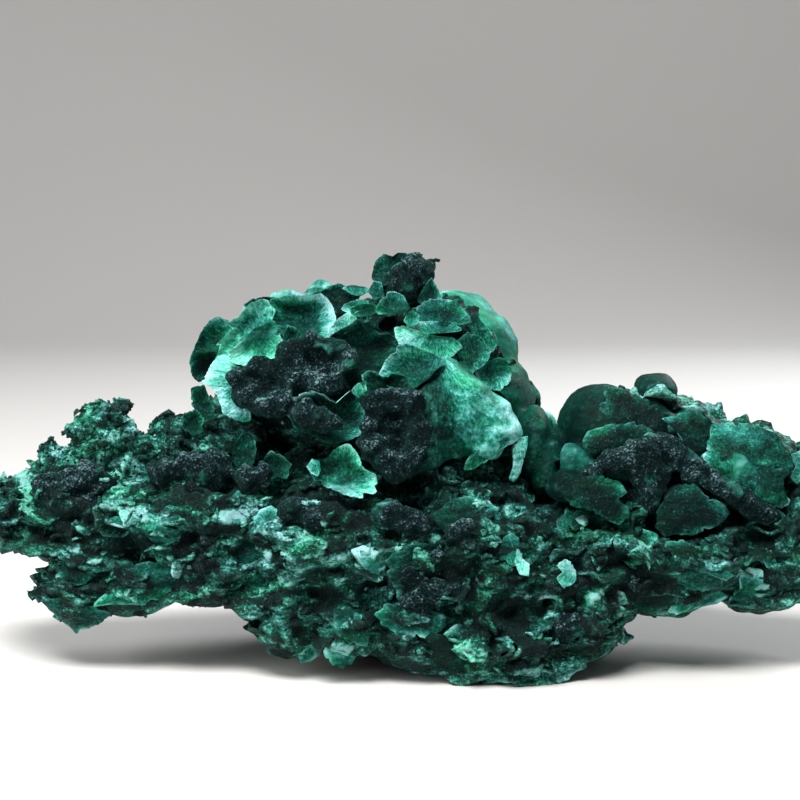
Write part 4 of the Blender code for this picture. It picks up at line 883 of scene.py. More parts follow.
def shell_form(shell, density=1.0, thickness=1.0, tear=0.08):
    """A thin curved leaf with a torn rim, a tuft of velvet at its heart, and fanned fibres."""
    count = int(density * (GRID_ROWS + SHELL_ROWS_PER_MM * max(shell.rx, shell.ry)))
    u, v, out = disc_grid(count)
    seed = own_seed(shell.x, shell.z)
    angle = np.arctan2(v, u)
    rim_place = rim_places(angle, seed)
    fringe = 0.60 * rough(rim_place, 0.40, seed + 3) + 0.18 * rough(rim_place, 0.11, seed + 4, 2)
    least = min(0.95, 0.70 + 0.035 * max(shell.rx, shell.ry))
    torn = broken_outline(angle, least, seed) + tear * ramp(out, 0.6, 1.0) * fringe
    wide, tall = u * torn, v * torn
    across, up = wide - shell.root[0], tall - shell.root[1]
    away, fan = np.hypot(across, up), np.arctan2(up, across)

    waves = np.sin(shell.ribs * fan + shell.x) + 0.35 * np.sin(2.3 * shell.ribs * fan + shell.z)
    pleats = 0.01 * np.sin(31.0 * fan + 3.0 * swell(rim_place, 0.6, seed + 5))
    height = shell.cup * (wide**2 + tall**2)
    height += (0.75 * shell.ruffle * waves + pleats) * np.minimum(away, 1.5)
    height += 1.5 * swell(rim_place, 0.9, seed + 6) * ramp(out, 0.45, 1.10)
    face = np.stack([wide * shell.rx, tall * shell.ry, height], axis=1)
    face[:, 2] += 0.35 * swell(face, 3.0, seed + 8) + 0.12 * rough(face + shell.y, 1.3, seed + 9)
    back = face.copy()
    back[:, 2] -= thickness * (0.45 + 0.75 * (1.0 - out**2))
    back[:, :2] *= 1.0 - 0.02 * out[:, None]

    tuft = ramp(0.14 * rough(face, 1.4, seed + 13) - out, 0.0, 0.10)
    hollow = np.exp(-(((wide - 0.15) ** 2 + tall**2) / 0.10))
    bristle = 0.42 * rough(face, 1.5, seed + 15) + 0.16 * rough(face, 0.45, seed + 16, 2)
    size = min(shell.rx, shell.ry)
    face[:, 2] += tuft * (0.22 * size * (1.0 - out**2) - 0.16 * size * hollow + bristle)

    turn = facing(shell.azimuth, shell.elevation, shell.spin)
    points = np.concatenate([face, back]) @ turn.T + np.array([shell.x, shell.y, shell.z])
    rim = ramp(out + 0.10 * rough(face, 1.3, seed + 21), 0.78, 1.05)
    glow = np.tile(away, 2) - 0.9 + 0.6 * swell(points, 5.0, seed + 24)
    tone = shell.tone + 0.26 * glow + 0.06 * rough(points, 2.4, seed + 25)
    tone += 0.30 * nearness(points, PALE)
    velvet = np.concatenate([tuft, np.zeros(len(tuft))])
    fibre = np.tile(rays(across, up, 0.12 * away + seed), (2, 1))
    return Form(points, (sandwich(count),), look_of(np.tile(rim, 2), tone, velvet), fibre)


def outline_reach(corners, middle, angle):
    """How far the outline lies from the middle in each direction, its corners a little blunted."""
    table = np.linspace(-math.pi, math.pi, 361)
    ray = np.stack([np.cos(table), np.sin(table)], axis=1)
    start = corners - middle
    along = np.roll(start, -1, axis=0) - start
    cross = ray[:, None, 0] * along[None, :, 1] - ray[:, None, 1] * along[None, :, 0]
    cross = np.where(np.abs(cross) < 1e-9, 1e-9, cross)
    far = (start[:, 0] * along[:, 1] - start[:, 1] * along[:, 0])[None, :] / cross
    share = (start[None, :, 0] * ray[:, None, 1] - start[None, :, 1] * ray[:, None, 0]) / cross
    hit = (share > -1e-6) & (share < 1.0 + 1e-6) & (far > 0.0)
    reach = np.where(hit, far, 0.0).max(axis=1)
    blunt = np.convolve(np.r_[reach[-2], reach, reach[1]], np.full(3, 1.0 / 3.0), "valid")
    return np.interp(angle, table, blunt)


def outline_middle(corners):
    """A place well inside an outline: halfway from its corners' mean to the middle of its box."""
    box_middle = 0.5 * (corners.min(axis=0) + corners.max(axis=0))
    return 0.5 * (corners.mean(axis=0) + box_middle)


def seated(scale, bodies):
    """The scale as a leaf that lies on the plane of the crust's front at its place."""
    corners = np.array(scale.corners)
    low, high = corners.min(axis=0), corners.max(axis=0)
    middle = outline_middle(corners)
    arrays = [mesh_arrays(body.data) for body in bodies]
    points, normals = (np.concatenate([part[k] for part in arrays]) for k in (0, 1))
    near = over_box(points, low, high) & (normals[:, 1] < -0.3) & (points[:, 1] < -4.0)
    x, y, z = points[near].T
    plane = np.stack([np.ones(len(x)), x - middle[0], z - middle[1]], axis=1)
    level, lean, tip = np.linalg.lstsq(plane, y, rcond=None)[0]
    lean, tip = np.clip((lean, tip), -0.5, 0.5)
    root = tuple(middle - 0.35 * (high - low) * np.array(scale.lit))
    look = (scale.tone, scale.edge, 0.72, scale.lit, 6)
    return Petal(level - SCALE_HEIGHT, lean, tip, SCALE_CUP, root, *look, scale.corners)


def petal_look(petal, face, angle, out, seed):
    """A leaf's tone from its middle to its rim, and where the rim is torn pale, both painted lighter
    towards the side that lit points to. This is painted light, so the pale rim is partly torn and partly a
    painted highlight.
    """
    side = np.hypot(*petal.lit)
    toward = (np.cos(angle) * petal.lit[0] + np.sin(angle) * petal.lit[1]) / side
    # Painted light: the side that lit points to is painted lighter and the far side darker.
    lit = np.clip(0.66 + 0.60 * toward * min(1.0, side), 0.10, 1.0)
    ragged = out + 0.12 * rough(face, 1.5, seed + 21)
    contrast = 1.22 * (petal.light - petal.dark)
    tone = petal.dark + contrast * ramp(ragged, petal.edge - 0.32, 0.93) * lit
    tone += 0.05 * rough(face, 2.0, seed + 25)
    # The pale rim: torn paleness, with a painted highlight on the lit side.
    rim = ramp(ragged, 0.88, 1.04) * lit * (0.35 + 0.65 * ramp(petal.light, 0.1, 0.6))
    return look_of(rim, tone)


def petal_form(petal, detail=1.0):
    """A leaf with a given outline, its rim torn a little and curled, its fibres fanning out."""
    corners = np.array(petal.corners)
    middle = outline_middle(corners)
    size = float(np.hypot(*(corners - middle).T).max())
    count = int(detail * (GRID_ROWS + LEAF_ROWS_PER_MM * size))
    u, v, out = disc_grid(count)
    seed = own_seed(*middle)
    angle = np.arctan2(v, u)
    rim_place = rim_places(angle, seed)
    fringe = 0.060 * rough(rim_place, 0.40, seed + 3) + 0.030 * rough(rim_place, 0.11, seed + 4, 2)
    nick = 0.14 * ramp(swell(rim_place, 0.22, seed + 7), 0.35, 0.80)
    torn = 1.0 + (fringe - nick) * ramp(out, 0.5, 1.0)
    reach = 1.06 * out * outline_reach(corners, middle, angle) * torn
    x, z = middle[0] + reach * np.cos(angle), middle[1] + reach * np.sin(angle)
    across, up = x - petal.root[0], z - petal.root[1]
    away, fan = np.hypot(across, up), np.arctan2(up, across)

    ripple = np.sin(petal.ribs * fan + seed) + 0.4 * np.sin(2.3 * petal.ribs * fan + 2.0 * seed)
    y = petal.y + petal.lean * (x - middle[0]) + petal.tip * (z - middle[1])
    y -= petal.cup * (1.2 * out**2 - 0.5)
    y += 0.10 * ripple * np.minimum(away, 4.0) / 4.0
    y += 0.105 * size * swell(rim_place, 0.9, seed + 6) * ramp(out, 0.35, 1.05)
    face = np.stack([x, y, z], axis=1)
    face[:, 1] += 0.30 * swell(face, 2.6, seed + 8) + 0.10 * rough(face, 1.0, seed + 9)
    back = face.copy()
    back[:, 1] += 0.35 + 0.9 * (1.0 - out**2)
    back[:, [0, 2]] += 0.03 * (middle - back[:, [0, 2]]) * out[:, None]

    look = np.tile(petal_look(petal, face, angle, out, seed), (2, 1))
    fibre = np.tile(rays(across, up, 0.06 * away + seed), (2, 1))
    return Form(np.concatenate([face, back]), (sandwich(count),), look, fibre)


def scale_on(dome, azimuth, elevation, wide, tall, tone):
    """A scale that lies on a dome of the back, where its skin faces the given way."""
    x, y, z, radius = dome
    level, turn = math.radians(elevation), math.radians(azimuth)
    x += radius * math.cos(level) * math.sin(turn)
    y -= radius * math.cos(level) * math.cos(turn)
    z += radius * math.sin(level)
    cup = -wide * wide / (2.2 * radius)
    return Shell(x, y, z, azimuth, elevation, 10 * wide, wide, tall, cup, (0.0, 0.6), 0.3, 4, tone)


# ---------------------------------------------------------------- the fused body


def add_ellipsoid(lump):
    bpy.ops.mesh.primitive_ico_sphere_add(subdivisions=3, radius=1.0)
    body = bpy.context.object
    place = Matrix.Translation(Vector((lump.x, lump.y, lump.z)) * MM)
    turn = Matrix.Rotation(math.radians(lump.tilt), 4, "Y")
    radii = [radius * MM for radius in (lump.rx, lump.ry, lump.rz)]
    body.data.transform(place @ turn @ Matrix.Diagonal((*radii, 1.0)))
    return body


def applied(body, kind, **settings):
    """One modifier of this kind, applied to the body's mesh."""
    modifier = body.modifiers.new("step", kind)
    for name, value in settings.items():
        setattr(modifier, name, value)
    bpy.context.view_layer.objects.active = body
    bpy.ops.object.modifier_apply(modifier=modifier.name)


def remeshed(body, voxel):
    """The body's skin made whole, with cells of this size."""
    applied(body, "REMESH", mode="VOXEL", voxel_size=voxel * MM)


def move_vertices(mesh, points):
    mesh.vertices.foreach_set("co", (points * MM).astype(np.float32).ravel())
    mesh.update()


def in_radii(points, lump):
    """Each point's offset from the lump's middle, in shares of the lump's radii."""
    middle = np.array([lump.x, lump.y, lump.z])
    return (points - middle) / np.array([lump.rx, lump.ry, lump.rz])


def mesh_arrays(mesh):
    """Vertex places in millimetres, vertex normals, and edges."""
    count = len(mesh.vertices)
    points = np.empty(count * 3, np.float32)
    mesh.vertices.foreach_get("co", points)
    normals = np.empty(count * 3, np.float32)
    mesh.vertex_normals.foreach_get("vector", normals)
    edges = np.empty(len(mesh.edges) * 2, np.int32)
    mesh.edges.foreach_get("vertices", edges)
    return (
        points.reshape(-1, 3).astype(float) / MM,
        normals.reshape(-1, 3).astype(float),
        edges.reshape(-1, 2),
    )


def layer_push(points, normals, pitch, reach, seed):
    """How far the crust's layers of this pitch stand out, each with a torn edge of its own."""
    wander = 0.32 * pitch * rough(points, 9.0, seed, 2) + 0.10 * pitch * swell(points, 1.6, seed + 5)
    level = (points[:, 2] - layer_bend(points) + wander) / pitch
    layer = np.floor(level)
    step = level - layer
    along = np.stack([points[:, 0], points[:, 1], layer * 37.0], axis=1)
    tear = 0.65 + 0.8 * rough(along, 2.2 * pitch, seed + 11)
    sideways = 1.0 - np.minimum(1.0, np.abs(normals[:, 2]))
    fade = ramp(CRUST_TOP + 2.0 - points[:, 2], 0.0, 5.0)
    return reach * tear * (step - 0.45) * 2.0 * sideways * fade


def chunk_push(points, size, reach, seed):
    """Each chunk of the crust stands out or back, leans its own way, and ends in a crack."""
    value, offset, crack = chunked(points, size, seed)
    lean = 1.1 * value * offset[:, 0] + 1.3 * np.sin(9.0 * value) * offset[:, 2]
    depth = 0.8 * (1.0 - ramp(crack, 0.0, 0.22))
    return reach * (0.55 * value + lean - depth)


def hollow_push(points):
    """How far back the caves and dents go."""
    deepest = np.zeros(len(points))
    for dent in HOLLOWS:
        inside = np.clip(1.0 - (in_radii(points, dent) ** 2).sum(axis=1), 0.0, 1.0)
        deepest = np.maximum(deepest, dent.depth * np.sqrt(inside))
    return deepest


def dome_seat(points):
    """How far back the crust gives way to the domes on its front, and where they cover it."""
    back, covered = np.zeros(len(points)), np.zeros(len(points))
    for lobe in FRONT_DOMES:
        across = (points[:, 0] - lobe.x) / (lobe.rx + 0.6)
        up = (points[:, 2] - lobe.z) / (lobe.rz + 0.6)
        share = ramp(1.22 - np.hypot(across, up), 0.0, 0.22) * (points[:, 1] < lobe.y)
        back = np.maximum(back, share * (lobe.y - points[:, 1]))
        covered = np.maximum(covered, share)
    return back, covered


def under_domes(points):
    """True where a dome of the front covers the crust."""
    return dome_seat(points - 1.0)[1] >= 0.3


def drused(points):
    """1 where the left arm's knuckles carry crystals."""
    return ramp(-points[:, 0], 21.0, 27.0) * ramp(points[:, 2], 24.5, 28.5)


def bend_out(edges, points, normals):
    """How far each vertex stands above the mean of its neighbours: positive on sharp edges."""
    total = np.zeros_like(points)
    count = np.zeros(len(points))
    for here, there in ((0, 1), (1, 0)):
        np.add.at(total, edges[:, here], points[edges[:, there]])
        np.add.at(count, edges[:, here], 1.0)
    mean = total / np.maximum(count, 1.0)[:, None]
    return ((points - mean) * normals).sum(axis=1)


def fused(name, lumps, voxel):
    """The lumps melted into one skin."""
    bodies = [add_ellipsoid(lump) for lump in lumps]
    bpy.ops.object.select_all(action="DESELECT")
    for body in bodies:
        body.select_set(True)
    bpy.context.view_layer.objects.active = bodies[0]
    bpy.ops.object.join()
    whole = bpy.context.object
    whole.name = name
    remeshed(whole, voxel)
    return whole


def settled(whole, points, voxel, one_mass=True):
    """The skin moved to the given points and made whole again, as one mass on a flat base."""
    move_vertices(whole.data, inside_box(points))
    remeshed(whole, voxel)
    if one_mass:
        flatten_base(whole.data)
        keep_largest(whole)
    whole.data.shade_smooth()


def crust_piece(name, lumps, material, layers):
    """A stretch of crust, with torn layers, broken chunks and hollows in its skin."""
    whole = fused(name, lumps, BODY_VOXEL)
    points, normals, _ = mesh_arrays(whole.data)
    druse = drused(points)
    push = layers * layer_push(points, normals, LEDGE_PITCH, LEDGE_REACH, LEDGE_SEED)
    push += layers * layer_push(points, normals, LEAF_PITCH, LEAF_REACH, LEAF_SEED)
    push += chunk_push(points, CHUNK_SIZE, CHUNK_REACH, CHUNK_SEED)
    push += chunk_push(points, CHIP_SIZE, CHIP_REACH, CHIP_SEED)
    push += 0.55 * rough(points, 4.5, 23) + 0.26 * rough(points, 1.3, 29, 3)
    push += druse * chunk_push(points, CRYSTAL_SIZE, CRYSTAL_REACH, CRYSTAL_SEED)
    push *= 1.0 - 0.80 * ramp(-normals[:, 2], 0.10, 0.65)
    _, _, stand = torn_patches(points)
    moved = points + normals * push[:, None]
    seat, _ = dome_seat(points)
    moved[:, 1] += hollow_push(points) - stand + seat
    settled(whole, moved, BODY_VOXEL)
    paint_crust(whole.data)
    return carried(whole, material)


def velvet_piece(name, lumps, material):
    """Lumpy velvet growth, dark all over but for green patches between its tufts, with painted glints of
    its fibre tips on ridges and on faces that look up.
    """
    whole = fused(name, lumps, VELVET_VOXEL)
    points, normals, _ = mesh_arrays(whole.data)
    push = 0.60 * rough(points, 2.6, 101) + 0.62 * rough(points, 1.2, 103, 3)
    settled(whole, points + normals * push[:, None], VELVET_VOXEL, one_mass=False)
    points, normals, edges = mesh_arrays(whole.data)
    points += normals * (0.18 * rough(points, 0.8, 104, 2))[:, None]
    move_vertices(whole.data, inside_box(points))
    bare = ramp(rough(points, 3.0, 105), 0.60, 0.85)
    # Painted glint: pale specks where fibre tips catch the light, on ridges and faces that look up, so
    # hollows and undersides stay darker.
    painted_glint = 0.6 * ramp(bend_out(edges, points, normals), -0.02, 0.10)
    painted_glint += 0.4 * ramp(normals[:, 2], 0.0, 0.9)
    painted_glint *= 0.55 + 0.50 * ramp(swell(points, 3.2, 107), -0.45, 0.45)
    write_attributes(whole.data, look_of(painted_glint, 0.16, 1.0 - bare), points / 3.0)
    return carried(whole, material)


def bulge_fan(points):
    """From the bulge's root, as seen from the front: each point's angle, distance and fold."""
    across, up = points[:, 0] - BULGE_ROOT[0], points[:, 2] - BULGE_ROOT[1]
    fan = np.arctan2(up, across)
    folds = np.sin(6.5 * fan + 0.9) + 0.4 * np.sin(15.0 * fan + 2.0 * swell(points, 4.0, 111))
    return fan, np.hypot(across, up), folds


def bulge_piece(name, lumps, material):
    """The big silky bulge, with soft folds that fan out from its root. Its upper right is painted lighter
    as painted light and its left darker as painted shade.
    """
    whole = fused(name, lumps, BODY_VOXEL)
    applied(whole, "SMOOTH", iterations=14)
    points, normals, _ = mesh_arrays(whole.data)
    _, reach, folds = bulge_fan(points)
    push = 0.085 * reach * folds + 0.30 * rough(points, 3.2, 113) + 0.05 * rough(points, 0.9, 115)
    torn = ramp(points[:, 0], 12.0, 15.5) * rough(points, 1.6, 117)
    settled(whole, points + normals * (push + 0.6 * torn)[:, None], BODY_VOXEL)
    points, normals, edges = mesh_arrays(whole.data)
    fan, reach, folds = bulge_fan(points)
    # Painted light and shade: the upper right is painted lighter and the left darker, and on that lit side
    # the folds' crests lighter than their troughs.
    lit = ramp(points[:, 0] + 0.35 * (points[:, 2] - 36.0), 4.6, 9.0)
    tone = 0.20 + 0.36 * lit + 0.13 * folds * lit + 0.16 * ramp(points[:, 0], 12.0, 15.0)
    tone += 0.08 * rough(points, 2.6, 119)
    rim = ramp(bend_out(edges, points, normals), 0.03, 0.12)
    fibre = np.stack([np.cos(fan), np.sin(fan), 0.05 * reach], axis=1)
    write_attributes(whole.data, look_of(rim, tone), fibre)
    return carried(whole, material)


def dome_tone(points, lobes):
    """At each point, the tone of the lobes whose skin lies nearest."""
    tone = np.zeros(len(points))
    weight = np.full(len(points), 1e-6)
    for lobe in lobes:
        depth = np.abs(np.linalg.norm(in_radii(points, lobe), axis=1) - 1.0)
        share = np.exp(-12.0 * depth)
        tone += share * lobe.tone
        weight += share
    return tone / weight


def dome_piece(name, lobes, material):
    """Smooth domes grown into each other, each with the tone of its own place, and faces that look up
    painted a little lighter as painted light.
    """
    whole = fused(name, lobes, BODY_VOXEL)
    applied(whole, "SMOOTH", iterations=3)
    points, normals, _ = mesh_arrays(whole.data)
    push = 0.50 * swell(points, 4.0, 121) + 0.26 * swell(points, 2.1, 122)
    behind = ramp(points[:, 1], 3.0, 9.0)
    push += 0.07 * rough(points, 0.9, 123) + behind * rough(points, 5.0, 125, 2)
    move_vertices(whole.data, inside_box(points + normals * push[:, None]))
    points, normals, edges = mesh_arrays(whole.data)
    # Painted light: faces that look up are painted a little lighter.
    tone = dome_tone(points, lobes) + 0.07 * rough(points, 3.5, 124) + 0.03 * normals[:, 2]
    edge = ramp(bend_out(edges, points, normals), 0.03, 0.09)
    write_attributes(whole.data, look_of(0.5 * edge, tone), points / 6.0)
    whole.data.shade_smooth()
    return carried(whole, material)


def flatten_base(mesh):
    """Everything under the flat break is brought up to it."""
    points, _, _ = mesh_arrays(mesh)
    points[:, 2] = np.maximum(points[:, 2], 0.0)
    move_vertices(mesh, points)


def keep_largest(body):
    """Removes sealed bubbles and crumbs left inside and beside the skin."""
    mesh = body.data
    _, _, edges = mesh_arrays(mesh)
    label = np.arange(len(mesh.vertices))
    while True:
        lowest = label.copy()
        np.minimum.at(lowest, edges[:, 0], label[edges[:, 1]])
        np.minimum.at(lowest, edges[:, 1], label[edges[:, 0]])
        lowest = lowest[lowest]
        if (lowest == label).all():
            break
        label = lowest
    names, counts = np.unique(label, return_counts=True)
    stray = label != names[counts.argmax()]
    if not stray.any():
        return
    bpy.ops.object.mode_set(mode="EDIT")
    bpy.ops.mesh.select_mode(type="VERT")
    bpy.ops.mesh.select_all(action="DESELECT")
    bpy.ops.object.mode_set(mode="OBJECT")
    mesh.vertices.foreach_set("select", stray)
    bpy.ops.object.mode_set(mode="EDIT")
    bpy.ops.mesh.delete(type="VERT")
    bpy.ops.object.mode_set(mode="OBJECT")


def paint_crust(mesh):
    """Rims on the crust's edges, tones by chunk and patch, and velvet in its dark places."""
    points, normals, edges = mesh_arrays(mesh)
    ridge = bend_out(edges, points, normals)
    pale = nearness(points, PALE)
    chunk, _, _ = chunked(points, CHUNK_SIZE, CHUNK_SEED)
    chip, _, _ = chunked(points, CHIP_SIZE, CHIP_SEED)
    edged = ramp(ridge + 0.03 * rough(points, 1.2, 41), 0.02, 0.12)
    patch_tone, cover, _ = torn_patches(points)
    rim = edged * (0.38 + 0.55 * ramp(pale, 0.0, 0.4) + 0.5 * cover)
    tone = 0.19 + 0.11 * chunk + 0.19 * chip + 0.08 * rough(points, 3.2, 43)
    tone += 0.40 * ramp(pale + 0.3 * chip, 0.1, 0.7) + 0.12 * drused(points)
    tone += (patch_tone + 0.10 * chip + 0.06 * rough(points, 1.2, 44) - tone) * cover
    dark = nearness(points, VELVET)
    velvet = ramp(dark + 0.30 * rough(points, 2.2, 47) - 0.5 * pale, 0.30, 0.48)
    velvet = np.maximum(velvet, ramp(np.sin(23.0 * chunk) - 2.0 * pale + 0.4 * chip, 0.80, 0.92))
    velvet *= (1.0 - 0.6 * drused(points)) * (1.0 - cover)
    write_attributes(mesh, look_of(rim, tone, velvet), points * np.array([0.25, 0.25, 1.2]))


# ---------------------------------------------------------------- what is scattered over the body


def buried(points, lumps):
    """True where a point lies well inside any of the lumps."""
    inside = np.zeros(len(points), bool)
    for lump in lumps:
        inside |= (in_radii(points, lump) ** 2).sum(axis=1) < 0.72
    return inside


def surface_samples(bodies, count, rng):
    """Random open places on the bodies, evenly by area, with their normals."""
    triangles, points, normals = [], [], []
    offset = 0
    for body in bodies:
        body.data.calc_loop_triangles()
        corner = np.empty(len(body.data.loop_triangles) * 3, np.int32)
        body.data.loop_triangles.foreach_get("vertices", corner)
        places, outward, _ = mesh_arrays(body.data)
        triangles.append(corner.reshape(-1, 3) + offset)
        points.append(places)
        normals.append(outward)
        offset += len(places)
    triangles, points, normals = (np.concatenate(part) for part in (triangles, points, normals))
    a, b, c = (points[triangles[:, k]] for k in range(3))
    area = np.linalg.norm(np.cross(b - a, c - a), axis=1)
    pick = rng.choice(len(triangles), size=count, p=area / area.sum())
    share = rng.dirichlet((1.0, 1.0, 1.0), size=count)
    place = (points[triangles[pick]] * share[:, :, None]).sum(axis=1)
    normal = unit((normals[triangles[pick]] * share[:, :, None]).sum(axis=1))
    deep = buried(place, CRUST_LEFT + CRUST_MIDDLE + CRUST_RIGHT + ROSETTE_CORE + LOBES)
    return place[~deep], normal[~deep]


def spaced(points, gap):
    """Indices of points that keep at least this gap to each other, first come first kept."""
    kept = []
    cells = {}
    for index, point in enumerate(points):
        cell = tuple(np.floor(point / gap).astype(int))
        near = itertools.product((-1, 0, 1), repeat=3)
        close = (cells.get((cell[0] + i, cell[1] + j, cell[2] + k), ()) for i, j, k in near)
        if all(np.linalg.norm(point - other) >= gap for group in close for other in group):
            cells.setdefault(cell, []).append(point)
            kept.append(index)
    return np.array(kept, int)


def frames_from(normals, rng):
    """For each normal, a turn whose third axis is the normal and whose roll is random."""
    first = unit(np.cross(rng.normal(size=normals.shape), normals))
    second = np.cross(normals, first)
    return np.stack([first, second, normals], axis=2)


def placed(local, turn, place):
    """Corners of many small forms, each form turned and moved to its own place."""
    return np.einsum("nij,nkj->nki", turn, local) + place[:, None, :]


def chip_forms(bodies, rng):
    """Thick torn chips that lie along the crust's layers, half sunk in it."""
    place, normal = surface_samples(bodies, CHIP_PLACES, rng)
    wanted = (place[:, 2] > 2.5) & (drused(place) < 0.3) & (normal[:, 2] > -0.3)
    wanted &= ~in_rosette_front(place) & ~on_right_slope(place) & ~under_domes(place)
    place, normal = place[wanted], normal[wanted]
    kept = spaced(place, CHIP_GAP)
    patch_tone, cover, _ = torn_patches(place)
    forms = []
    for point, out, pale, share in zip(place[kept], normal[kept], patch_tone[kept], cover[kept]):
        lean = 0.55 * out + 0.40 * rng.normal(size=3) + np.array([0.0, 0.0, 0.8])
        lean /= np.linalg.norm(lean)
        azimuth = math.degrees(math.atan2(lean[0], -lean[1]))
        elevation = math.degrees(math.asin(lean[2]))
        wide = rng.uniform(1.1, 2.7)
        tall = wide * rng.uniform(0.6, 1.0)
        cup = rng.choice([-1.0, 1.0]) * rng.uniform(0.05, 0.18) * wide
        bright = rng.random() < 0.02 + 0.4 * nearness(point[None, :], PALE)[0]
        tone = rng.uniform(0.40, 0.65) if bright else rng.uniform(0.04, 0.26)
        tone += (pale - tone) * share
        at = point - out * rng.uniform(0.0, 0.6)
        root = (rng.uniform(-0.5, 0.5), rng.uniform(-0.8, 0.2))
        spin = rng.uniform(0, 360)
        chip = Shell(*at, azimuth, elevation, spin, wide, tall, cup, root, 0.12 * wide, 4, tone)
        form = shell_form(chip, density=0.55, thickness=0.8, tear=0.35)
        form.look[:, 0] *= 0.26 + 0.24 * max(bright, share)
        forms.append(form)
    return forms


def plate_forms():
    """The plates of the crust's layers, duller and darker than leaves are."""
    plates = [shell_form(shell, density=0.6, thickness=1.1, tear=0.30) for shell in LEDGES]
    for plate in plates:
        plate.look[:, 0] *= 0.45
        plate.look[:, 1] = np.clip(0.8 * plate.look[:, 1] - 0.10, 0.03, 1.0)
    return plates


def on_right_slope(points):
    """True on the cap and the slope right of the dark domes, which only fine crumbs roughen."""
    x, y, z = points.T
    return (x > 36) & (z > 26.5 + 0.25 * np.abs(x - 42)) & (y < 8)


def in_rosette_front(points):
    """True on the rosette's face, which its own shells cover."""
    x, y, z = points.T
    return (x > -31) & (x < 16) & (z > 29) & (y < 2)


def flake_places(bodies, rng):
    """Where flakes stick out: few on the velvet, on the rosette's face and on the knuckles."""
    place, normal = surface_samples(bodies, FLAKE_PLACES, rng)
    calm = nearness(place, VELVET) > 0.35
    calm |= in_rosette_front(place) | (drused(place) > 0.4)
    wanted = (place[:, 2] > 0.8) & ~(calm & (rng.random(len(place)) < 0.7))
    wanted &= (normal[:, 2] > -0.4) & ~under_domes(place) & ~on_right_slope(place)
    return place[wanted], normal[wanted]


def flake_turns(place, normal, rng):
    """How each flake lies: along the layers at the left, in disorder at the right."""
    count = len(place)
    disorder = 0.25 + 0.40 * ramp(place[:, 0], -10.0, 25.0)
    slope = 2.0 * LAYER_RISE * (place[:, 0] - LAYER_CENTRE)
    bedding = np.stack([slope, np.full(count, -0.15), np.ones(count)], axis=1)
    axis = unit(bedding + 0.35 * normal + disorder[:, None] * rng.normal(size=(count, 3)))
    return frames_from(axis, rng)


def flake_points(place, normal, turn, size, rng):
    """The corners of each flake: a bent ring and a raised middle on either side of it."""
    count = len(place)
    step = 2.0 * math.pi / FLAKE_SIDES
    angle = np.arange(FLAKE_SIDES) * step + rng.uniform(-0.25, 0.25, size=(count, FLAKE_SIDES))
    reach = size[:, None] * rng.uniform(0.55, 1.15, size=(count, FLAKE_SIDES))
    stretch = rng.uniform(0.5, 1.0, size=count)[:, None]
    lift = 0.25 * size[:, None] * np.sin(2.0 * angle + rng.uniform(0, 6, size=(count, 1)))
    ring = np.stack([reach * np.cos(angle), reach * stretch * np.sin(angle), lift], axis=2)
    thick = rng.uniform(0.08, 0.22, size=(count, 1, 1)) * np.array([0.0, 0.0, 1.0])
    middle = 1.5 * thick
    local = np.concatenate([ring + thick, middle, ring - thick, -middle], axis=1)
    out = normal * (size * rng.uniform(0.05, 0.5, size=count))[:, None]
    return placed(local, turn, place + out)


def flake_forms(bodies, rng):
    """Small torn flakes that stick out of the crust, mostly along its layers."""
    place, normal = flake_places(bodies, rng)
    turn = flake_turns(place, normal, rng)
    count = len(place)
    size = FLAKE_LEAST + (FLAKE_MOST - FLAKE_LEAST) * rng.random(count) ** 2.5
    patch_tone, cover, _ = torn_patches(place)
    pale = np.maximum(ramp(nearness(place, PALE), 0.0, 0.35), cover)
    bright = rng.random(count) < 0.09 + 0.25 * pale
    tone = np.where(bright, 0.62, 0.14) + (patch_tone - 0.14) * cover * ~bright
    tone += 0.10 * rng.normal(size=count)
    edge = np.clip(0.16 + 0.4 * pale + 0.48 * rng.normal(size=count), 0.0, 1.0)
    return [flake_sheet(flake_points(place, normal, turn, size, rng), tone, edge)]


def flake_faces():
    """The quads and triangles of one flake: a rim strip, and a fan on each side."""
    k = np.arange(FLAKE_SIDES)
    after = (k + 1) % FLAKE_SIDES
    under = FLAKE_SIDES + 1
    tip = np.full(FLAKE_SIDES, FLAKE_SIDES)
    quads = np.stack([after, k, k + under, after + under], axis=1)
    fan = np.stack([k, after, tip], axis=1)
    return quads, np.concatenate([fan, fan[:, [1, 0, 2]] + under])


def flake_sheet(points, tone, edge):
    """The flakes of one batch as a single form, pale along their edges."""
    count, corners = points.shape[:2]
    first = (np.arange(count) * corners)[:, None, None]
    faces = tuple((kind + first).reshape(-1, kind.shape[1]) for kind in flake_faces())
    profile = np.tile(np.r_[np.ones(FLAKE_SIDES), 0.0], 2)
    rim = profile * edge[:, None]
    flat = points.reshape(-1, 3)
    look = look_of(rim.ravel(), np.repeat(np.clip(tone, 0.02, 1.0), corners))
    return Form(flat, faces, look, flat / 2.0)


# A grain: its corners from -1 to 1 along each axis, and its faces.
GRAIN_CORNERS = np.array(list(itertools.product((-1.0, 1.0), repeat=3)))
GRAIN_FACES = np.array(
    [(0, 1, 3, 2), (4, 6, 7, 5), (0, 4, 5, 1), (2, 3, 7, 6), (0, 2, 6, 4), (1, 5, 7, 3)]
)


